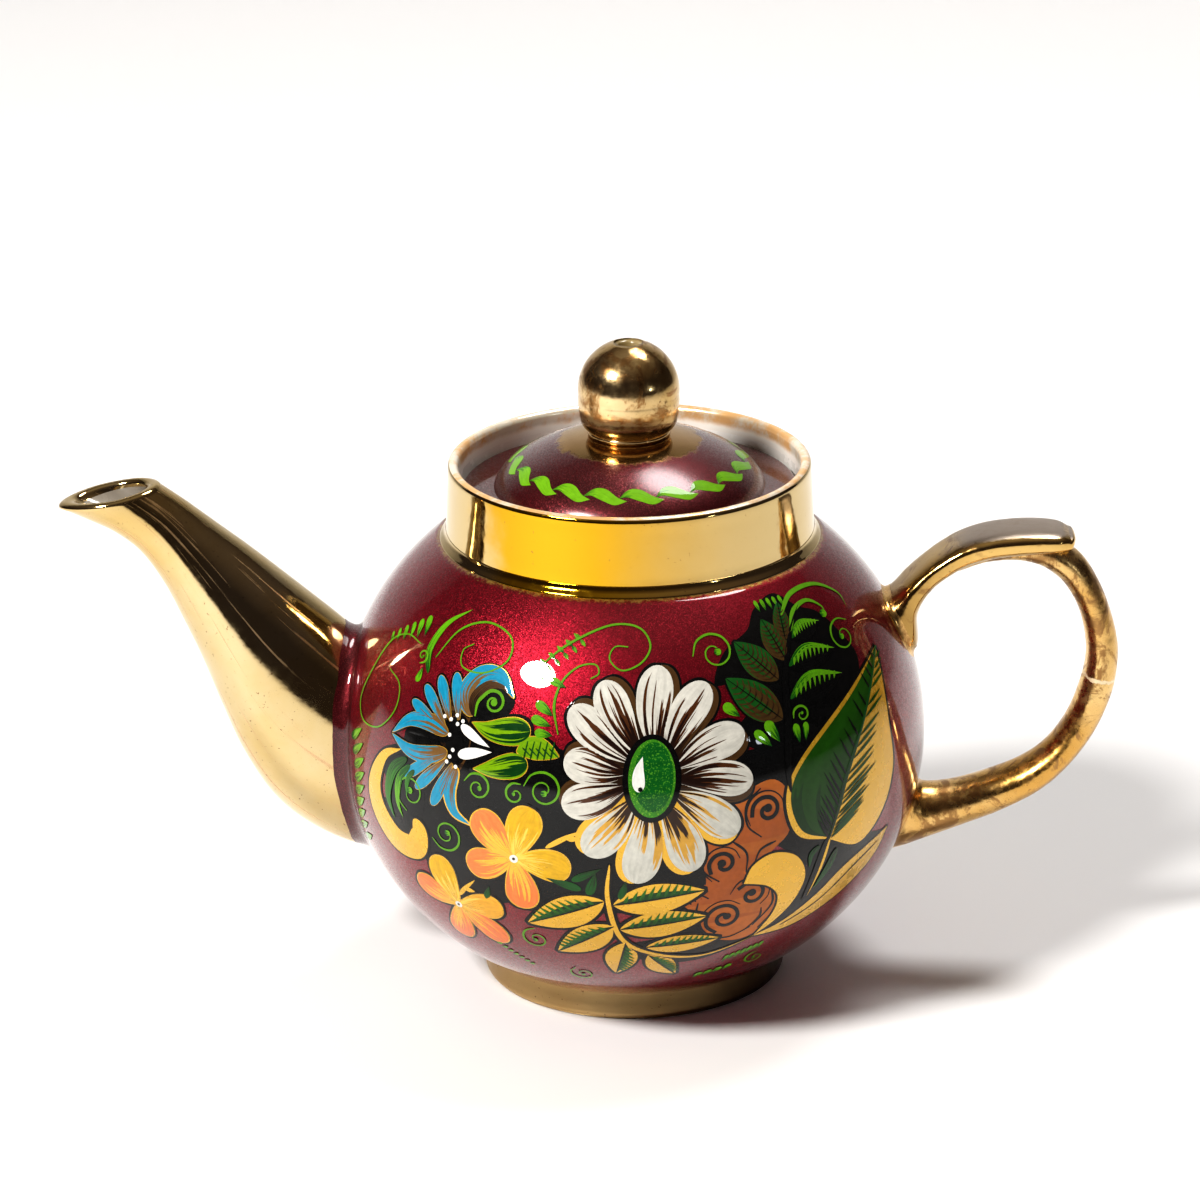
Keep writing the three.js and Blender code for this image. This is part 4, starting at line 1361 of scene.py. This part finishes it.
def paint_big_leaf(p):
    """The broad leaf by the handle: green on one side of its rib, gold with a green comb on the other."""
    rib = [(46, -19.5), (48.2, -12), (50.6, -4), (57, 9), (66, 27)]
    left = [(46, -19.5), (37, -16.5), (33.8, -7), (38.5, 2.4), (54, 16.6), (66, 27)]
    right = [(46, -19.5), (56.4, -23.4), (64.4, -16.6), (68, -5), (66.6, 8), (66, 27)]
    p.outline(0.8, left, right)
    fill_between(p, "leaf_gold", "gilt", left, rib, SHADE)
    inner = [(46, -19), (38.2, -15.6), (35.0, -7), (39.2, 1.6), (54.6, 15.8), (65.6, 26.6)]
    fill_between(p, "leaf_green", "big_leaf", inner, rib, COLOUR)
    fill_between(p, "leaf_gold", "gilt", rib, right, SHADE)
    p.stroke("leaf_rib", "deep_green", rib, 0.7, hair, TOP)
    steps, hairs = 60, 21
    spine = eased(spline(rib, STROKE_STEPS), steps)
    for i in range(hairs):
        t = 0.07 + 0.84 * i / hairs
        root = spine[int(t * steps)]
        reach = 12.4 * math.sin(math.pi * min(1, t * 0.86 + 0.18)) ** 0.9 * random.uniform(0.75, 1.05)
        start = (root.x + 0.4, root.y - 0.2)
        tip = (root.x + reach, root.y + reach * 0.62)
        p.line([start, tip], 0.38, "big_leaf", TOP, blade)
        p.line([(root.x - 0.3, root.y), (root.x - reach * 0.42, root.y + reach * 0.62)], 0.30, "black",
            TOP, comma)
    p.stroke("edges", "black", [(45.6, -19), (43.6, -27), (40.6, -36)], 1.1, comma, DETAIL)
    p.stroke("leaf_rib", "gilt", [(46.4, -19), (44.6, -27), (42, -35)], 0.4, comma, TOP)
    p.stroke("pale_leaves", "deep_green", [(49, -22.6), (47, -27.4), (43.4, -33)], 1.1, comma, TOP)
    p.stroke("pale_leaves", "deep_green", [(43.6, -20.6), (41.4, -22.6), (41.2, -26)], 0.8, comma, TOP)


def paint_gold_shapes(p):
    """The big gold drop and the swoosh that ends the bouquet below the handle."""
    outer = [(24.4, -27), (26.4, -22.4), (31.4, -20), (37.4, -22), (40.4, -28), (38.4, -35), (34, -40.6),
        (29, -44.6)]
    inner = [(24.4, -27), (27.4, -27.6), (30.6, -28.8), (33.2, -31.6), (33.6, -35), (32.6, -38.4),
        (30.8, -41.6), (29, -44.6)]
    p.outline(0.55, outer, inner)
    fill_between(p, "gold_drop", "gilt", inner, outer, COLOUR)
    upper = [(68.6, -22.6), (60, -25.6), (52, -29.6), (44.6, -36), (36, -42), (28, -45)]
    lower = [(68.6, -22.6), (65, -30), (57, -36.6), (48, -41.6), (38.6, -44.8), (28, -45)]
    p.outline(0.55, upper, lower)
    fill_between(p, "gold_drop", "gilt", lower, upper, SHADE)
    p.line([(65, -25.6), (56, -30.6), (46, -38.2), (36, -43.2)], 0.3, "black", COLOUR + 0.02)


def paint_scrolls(p):
    """Black scrolls over the rust patch."""
    scrolls = [
        (29.2, -9.4, 3.8, 1.35, 200, -1), (19.4, -21.2, 3.6, 1.2, 220, -1),
        (20.6, -36.4, 5.0, 1.6, 250, -1), (26.6, -30.4, 4.0, 1.2, 150, -1)
    ]
    for u, v, radius, turns, start, hand in scrolls:
        path = curl(u, v, radius, turns, start, hand)
        p.line(path, 0.48, "black", SHADE, even)
        p.dot(*path[-1], 1.0, "black", SHADE + 0.02)
        p.line(curl(u, v, radius + 1.3, 0.62, start - 20 * hand, hand, 0.8), 0.26, "black", SHADE)
    strands = [
        [(27.6, -4.2), (24.4, -7.6), (24.6, -12.4), (28, -15.6)],
        [(13.4, -17), (14.8, -22.4), (18.6, -25.6)], [(10.4, -20.6), (11.8, -26.4), (16.4, -30)],
        [(33.4, -30), (34, -35.4), (29.6, -42)], [(31.6, -29.6), (32.2, -34.6), (28, -40.6)],
        [(29.6, -35), (29.4, -38), (26, -42)], [(14, -31), (13.6, -37), (17.6, -42.4)],
        [(16.6, -42), (22, -43.4), (27.6, -41)], [(21, -15.6), (24.6, -19), (24.8, -24)],
        [(31.6, -17), (28, -18.6), (26.6, -22)]
    ]
    for path in strands:
        p.line(path, 0.36, "black", SHADE)


def paint_bottom_sprig(p):
    """A gold sprig that sweeps along under the daisy, one half of each leaf combed with green."""
    stem = [(-5.6, -20), (-6.2, -29), (-3.4, -41), (4, -47), (16, -49.4), (29, -45)]
    p.stroke("edges", "black", stem, 1.2, comma, COLOUR, 0.2)
    p.stroke("sprig_stem", "gilt", stem, 0.6, comma, DETAIL)
    leaves = [
        ((-7, -29.6), (-25.4, -38), 4.5, -1), ((-5, -37), (-19, -47.4), 4.2, -1),
        ((-2.4, -42.6), (-5, -56), 3.9, 1), ((-5, -30.6), (15.4, -27.4), 4.1, 1),
        ((-3.6, -38), (16.2, -35), 4.0, 1), ((2.4, -44.4), (20, -43), 3.0, 1),
        ((3, -47.6), (10, -57.4), 3.4, 1)
    ]
    for base, tip, half, hand in leaves:
        p.edged("sprig_leaves", "gilt", [base, tip], half, blade, 0.7)
        a, b = Vector(base), Vector(tip)
        side = beside(a, b) * hand
        p.stroke("sprig_shade", "deep_green", [base, a.lerp(b, 0.42) + side * half * 0.24, tip],
            half * 0.22, blade, DETAIL)
        for k in range(9):
            t = 0.12 + 0.085 * k
            reach = half * blade(t) * 0.92
            root = a.lerp(b, t)
            end = root + side * reach + (b - a).normalized() * reach * 0.62
            p.line([root, end], 0.42, "mid_green", TOP - 0.01, drop_back)
        p.line([base, tip], 0.24, "black", TOP)


def bud(p, start, tip, half, width=drop, lift=COLOUR):
    p.stroke("buds", "leaf", [start, tip], half, width, lift)


def paint_tendrils(p):
    """Light green tendrils, curls, ferns and buds that fill the ground round the flowers."""
    lines = [
        [(-48.6, 25.6), (-42.6, 32.6), (-35, 34.4), (-28.6, 30.6), (-28.8, 25), (-34.6, 22),
            (-40.4, 23.4), (-40.8, 27.4), (-38, 29)],
        [(-54, 29), (-59.6, 31.8), (-66, 30), (-72, 22), (-76, 14), (-73.6, 8), (-66, 7), (-60, 12),
            (-59.4, 18.4), (-64, 22.4)],
        [(-22.4, 21.6), (-19, 25.4), (-13.6, 29.4), (-5, 33.2), (1.4, 32.6), (4, 28.4), (2, 24.4),
            (-2.4, 22.6), (-5.2, 25.2), (-4, 28), (-1, 28)],
        [(-16.4, 8.6), (-17.4, 15), (-15.6, 20.4), (-12, 23.6), (-8.4, 24), (-7.6, 22), (-9.4, 20.8)]
    ]
    for path in lines:
        p.line(path, 0.34)
    arches = [
        [(38.4, 31), (40.4, 36.6), (45, 39.6), (49.4, 38), (50, 35.4)],
        [(36.4, 35), (40.6, 41.4), (49, 44.6), (56.6, 42.4), (58.6, 38)]
    ]
    for path in arches:
        p.line(path, 0.66, width=comma)
    p.dot(49.4, 36, 1.1, "leaf", DETAIL + 0.03)
    curls = [
        (18.6, 26.4, 5.2, 1.5, 190, -1), (54.4, 30, 5.0, 1.4, 60, 1), (-35, -4.0, 3.6, 1.5, 160, -1),
        (-26, -4.8, 2.7, 1.3, 60, 1), (-19.6, -3.6, 4.5, 1.7, 170, -1), (-44, -16.6, 4.6, 1.6, 200, 1),
        (-54, -8, 5.2, 1.4, 250, -1), (38.6, 11.4, 2.4, 1.3, 200, -1), (-24, -43.6, 3.9, 1.4, 90, 1),
        (-13.6, -57.6, 3.6, 1.4, 120, 1), (-52.8, 26, 2.0, 1.2, 250, 1), (31.6, -56, 3.4, 1.3, 90, 1)
    ]
    for u, v, radius, turns, start, hand in curls:
        path = curl(u, v, radius, turns, start, hand)
        p.line(path, 0.34)
        p.dot(*path[-1], 0.16 * radius, "leaf", DETAIL + 0.03)
    p.stroke("buds", "leaf", [(-50.4, 21.6), (-50.8, 28), (-46.8, 34.4), (-40, 38)], 1.0, comma, COLOUR)
    for i in range(6):
        u, v = -66 + 2.5 * i, 29.4 + 0.35 * i
        bud(p, (u, v), (u + 0.3 + 0.1 * i, v + 3.4 + 0.45 * i), 0.50 + 0.09 * i)
    for i in range(6):
        u, v = -21.4 + 1.9 * i, 22.4 + 1.5 * i
        bud(p, (u, v), (u - 1.6, v + 1.5), 0.5, blade)
        bud(p, (u, v), (u + 1.2, v - 1.7), 0.45, blade)
    for i in range(5):
        u, v = 30.6 + 1.7 * i, 36.2 + 0.4 * i
        bud(p, (u + 0.6, v), (u - 0.6, v + 3.0), 0.5)
    buds = [
        ((-17.6, 12.6), (-21.4, 15.6), 1.1), ((-18, 10.4), (-22.4, 12.2), 1.1),
        ((-17.6, 8.4), (-21.6, 9), 1.0), ((-14.8, 18.8), (-18.6, 20.8), 0.9),
        ((23.4, 11.8), (19.8, 14.6), 1.2), ((32.6, 5.6), (29.4, 10.4), 1.3),
        ((30.6, 4.8), (26.6, 8.4), 1.1), ((37.6, 5), (36.6, 9.4), 0.9), ((39.2, 5.4), (39.4, 9.6), 0.8),
        ((-52.2, 23), (-53.6, 19.4), 0.9)
    ]
    for a, b, half in buds:
        bud(p, a, b, half, lift=DETAIL)
    for i in range(9):
        v = 2 - 4.0 * i
        u = -77.5 + 1.4 * math.sin(i * 0.7)
        bud(p, (u - 2.8, v), (u + 3.2, v + 3.4), 1.35, comma)
    for i in range(7):
        u, v = 22 + 1.5 * i, -54.4 + 0.5 * i
        bud(p, (u, v), (u + 1.4, v + 3), 0.55)
        u, v = -36 + 1.3 * i, -49.4 - 1.2 * i
        bud(p, (u, v), (u + 1.8, v + 0.6), 0.5)
    for i in range(4):
        u, v = 15 + 2.6 * i, -61.6 + 0.7 * i
        bud(p, (u, v), (u + 2.2, v + 2.8), 0.9)
    dark_buds = [
        ((-8.6, -22), (-10.4, -28), 1.1), ((-7.2, -21), (-14, -24.4), 0.9), ((-2, -24), (-3.4, -29), 0.9),
        ((-20, -24), (-12, -26.6), 1.0), ((-34, -28.6), (-35.4, -32.6), 0.8)
    ]
    for a, b, half in dark_buds:
        p.stroke("buds", "deep_green", [a, b], half, drop, COLOUR)


def paint_side(name, azimuth, flip):
    """The bouquet, seen from a direction in degrees. flip -1 mirrors it."""
    painter = Painter(Side(name, azimuth, flip), "pot")
    order = [
        paint_ground, paint_scrolls, paint_crescent, paint_blue, paint_small_flowers, paint_dark_sprig,
        paint_gold_shapes, paint_big_leaf, paint_bottom_sprig, paint_daisy, paint_tendrils
    ]
    for paint in order:
        paint(painter)
    painter.finish()


def s_leaf(t):
    return math.sin(math.pi * t ** 0.92) ** 1.1


def paint_lid():
    """A ring of S-shaped green leaves that follow each other round the dome."""
    painter = Painter(Crown(), "lid")
    for i in range(LID_LEAVES):
        turn = 360 * i / LID_LEAVES - 85
        path = [(turn - 10.5, 25.4), (turn - 6, 24.3), (turn, 24.7), (turn + 6, 25.9), (turn + 11.5, 26.0)]
        painter.stroke("leaves", "lid_leaf", path, 1.35, s_leaf, 0.05)
    painter.finish()


# ---------------------------------------------------------------- scene

MIDDLE_OF_POT = 0.06  # the height that the lamps aim at, in metres


def area_light(name, azimuth, elevation, distance, size, power, colour=(1, 1, 1)):
    """A round soft box aimed at the pot from a direction, in degrees and metres."""
    a, e = math.radians(azimuth), math.radians(elevation)
    aim = Vector((0, 0, MIDDLE_OF_POT))
    way = Vector((math.cos(a) * math.cos(e), math.sin(a) * math.cos(e), math.sin(e)))
    light = bpy.data.lights.new(name, "AREA")
    light.shape = "ELLIPSE"
    light.size, light.size_y = size
    light.energy = power
    light.color = colour
    lamp = bpy.data.objects.new(name, light)
    lamp.location = aim + way * distance
    lamp.rotation_euler = way.to_track_quat("Z", "Y").to_euler()
    bpy.context.scene.collection.objects.link(lamp)


def make_stage():
    """A pale table that curves up into a backdrop behind the pot."""
    mesh = bpy.data.meshes.new("table")
    front, back, bend, top, half = -2.2, 1.3, 0.5, 1.9, 2.4
    line = [(front, 0.0), (back, 0.0)]
    for i in range(1, 13):
        turn = math.pi / 2 * i / 12
        line.append((back + bend * math.sin(turn), bend - bend * math.cos(turn)))
    line.append((back + bend, top))
    points = []
    for y, z in line:
        points += [(-half, y, z), (half, y, z)]
    mesh.from_pydata(points, [], [(2 * i, 2 * i + 1, 2 * i + 3, 2 * i + 2) for i in range(len(line) - 1)])
    mesh.polygons.foreach_set("use_smooth", [True] * len(mesh.polygons))
    look = Look("pale_table")
    look.set("Base Color", look.mix(look.noise(3.0, 3.0), (0.86, 0.86, 0.86), (0.89, 0.885, 0.88)))
    look.set("Roughness", 0.6)
    mesh.materials.append(look.material)
    table = bpy.data.objects.new("table", mesh)
    bpy.context.scene.collection.objects.link(table)


def make_lights():
    """A soft key lamp from the front left, a wide one behind and above, a small one and dim surroundings."""
    area_light("key", -139, 43, 1.5, (0.36, 0.27), 27.5, (1.0, 0.98, 0.95))
    area_light("overhead", 48, 66, 1.8, (0.8, 0.6), 17)
    area_light("small_lamp", -39, 13, 1.5, (0.11, 0.08), 0.5, (0.85, 0.92, 1.0))
    world = bpy.data.worlds.new("studio")
    bpy.context.scene.world = world
    world.use_nodes = True
    tree = world.node_tree
    way = tree.nodes.new("ShaderNodeTexCoord").outputs["Generated"]
    split = tree.nodes.new("ShaderNodeSeparateXYZ")
    tree.links.new(way, split.inputs[0])
    ramp = tree.nodes.new("ShaderNodeValToRGB")
    stops = [(0.0, (0.036, 0.028, 0.026)), (0.45, (0.036, 0.029, 0.029)), (0.62, (0.078, 0.062, 0.056)),
             (0.80, (0.13, 0.105, 0.09)), (0.95, (0.26, 0.23, 0.20))]
    while len(ramp.color_ramp.elements) < len(stops):
        ramp.color_ramp.elements.new(0.5)
    for element, (place, colour) in zip(ramp.color_ramp.elements, stops):
        element.position = place
        element.color = (*colour, 1)
    tree.links.new(split.outputs[2], ramp.inputs["Fac"])
    tree.links.new(ramp.outputs["Color"], tree.nodes["Background"].inputs["Color"])


def make_camera():
    """A long lens 1.2 m away, 20 degrees above the table, level with the middle of the pot."""
    distance, elevation, roll = 1.2, math.radians(20.42), math.radians(-0.71)
    aim = Vector((AXIS_X * MM - 0.0068, 0, 0.08647))
    back = Vector((0, -math.cos(elevation), math.sin(elevation)))
    up = Vector((0, math.sin(elevation), math.cos(elevation)))
    right = Vector((1, 0, 0))
    across = right * math.cos(roll) + up * math.sin(roll)
    above = up * math.cos(roll) - right * math.sin(roll)
    data = bpy.data.cameras.new("camera")
    data.sensor_width = 36
    data.lens = 163.1
    data.clip_start = 0.05
    camera = bpy.data.objects.new("camera", data)
    turn = Matrix((across, above, back)).transposed().to_4x4()
    camera.matrix_world = Matrix.Translation(aim + back * distance) @ turn
    bpy.context.scene.collection.objects.link(camera)
    bpy.context.scene.camera = camera


make_bowl()
make_foot()
make_collar()
make_ledge()
make_flange()
make_skirt()
make_dome()
make_bead()
make_knob()
make_spout()
make_strap()
make_loop()
# The spout's seam wears the darker lacquer as painted shade.
make_root("spout_root_seam", spout_tube, 2.6, 3.7, SHADED_LACQUER, "spout_root_roll")
make_root("handle_upper_seam", strap_tube, 1.6, 1.6, LOOP_GOLD, "handle_upper_roll")
make_root("handle_lower_seam", loop_tube, 1.6, 1.8, LOOP_GOLD, "handle_lower_roll")
paint_side("front", -90, 1)
paint_side("back", 90, -1)
paint_lid()
make_stage()
make_lights()
make_camera()
scene = bpy.context.scene
scene.view_settings.view_transform = "Standard"
scene.view_settings.look = "Medium High Contrast"
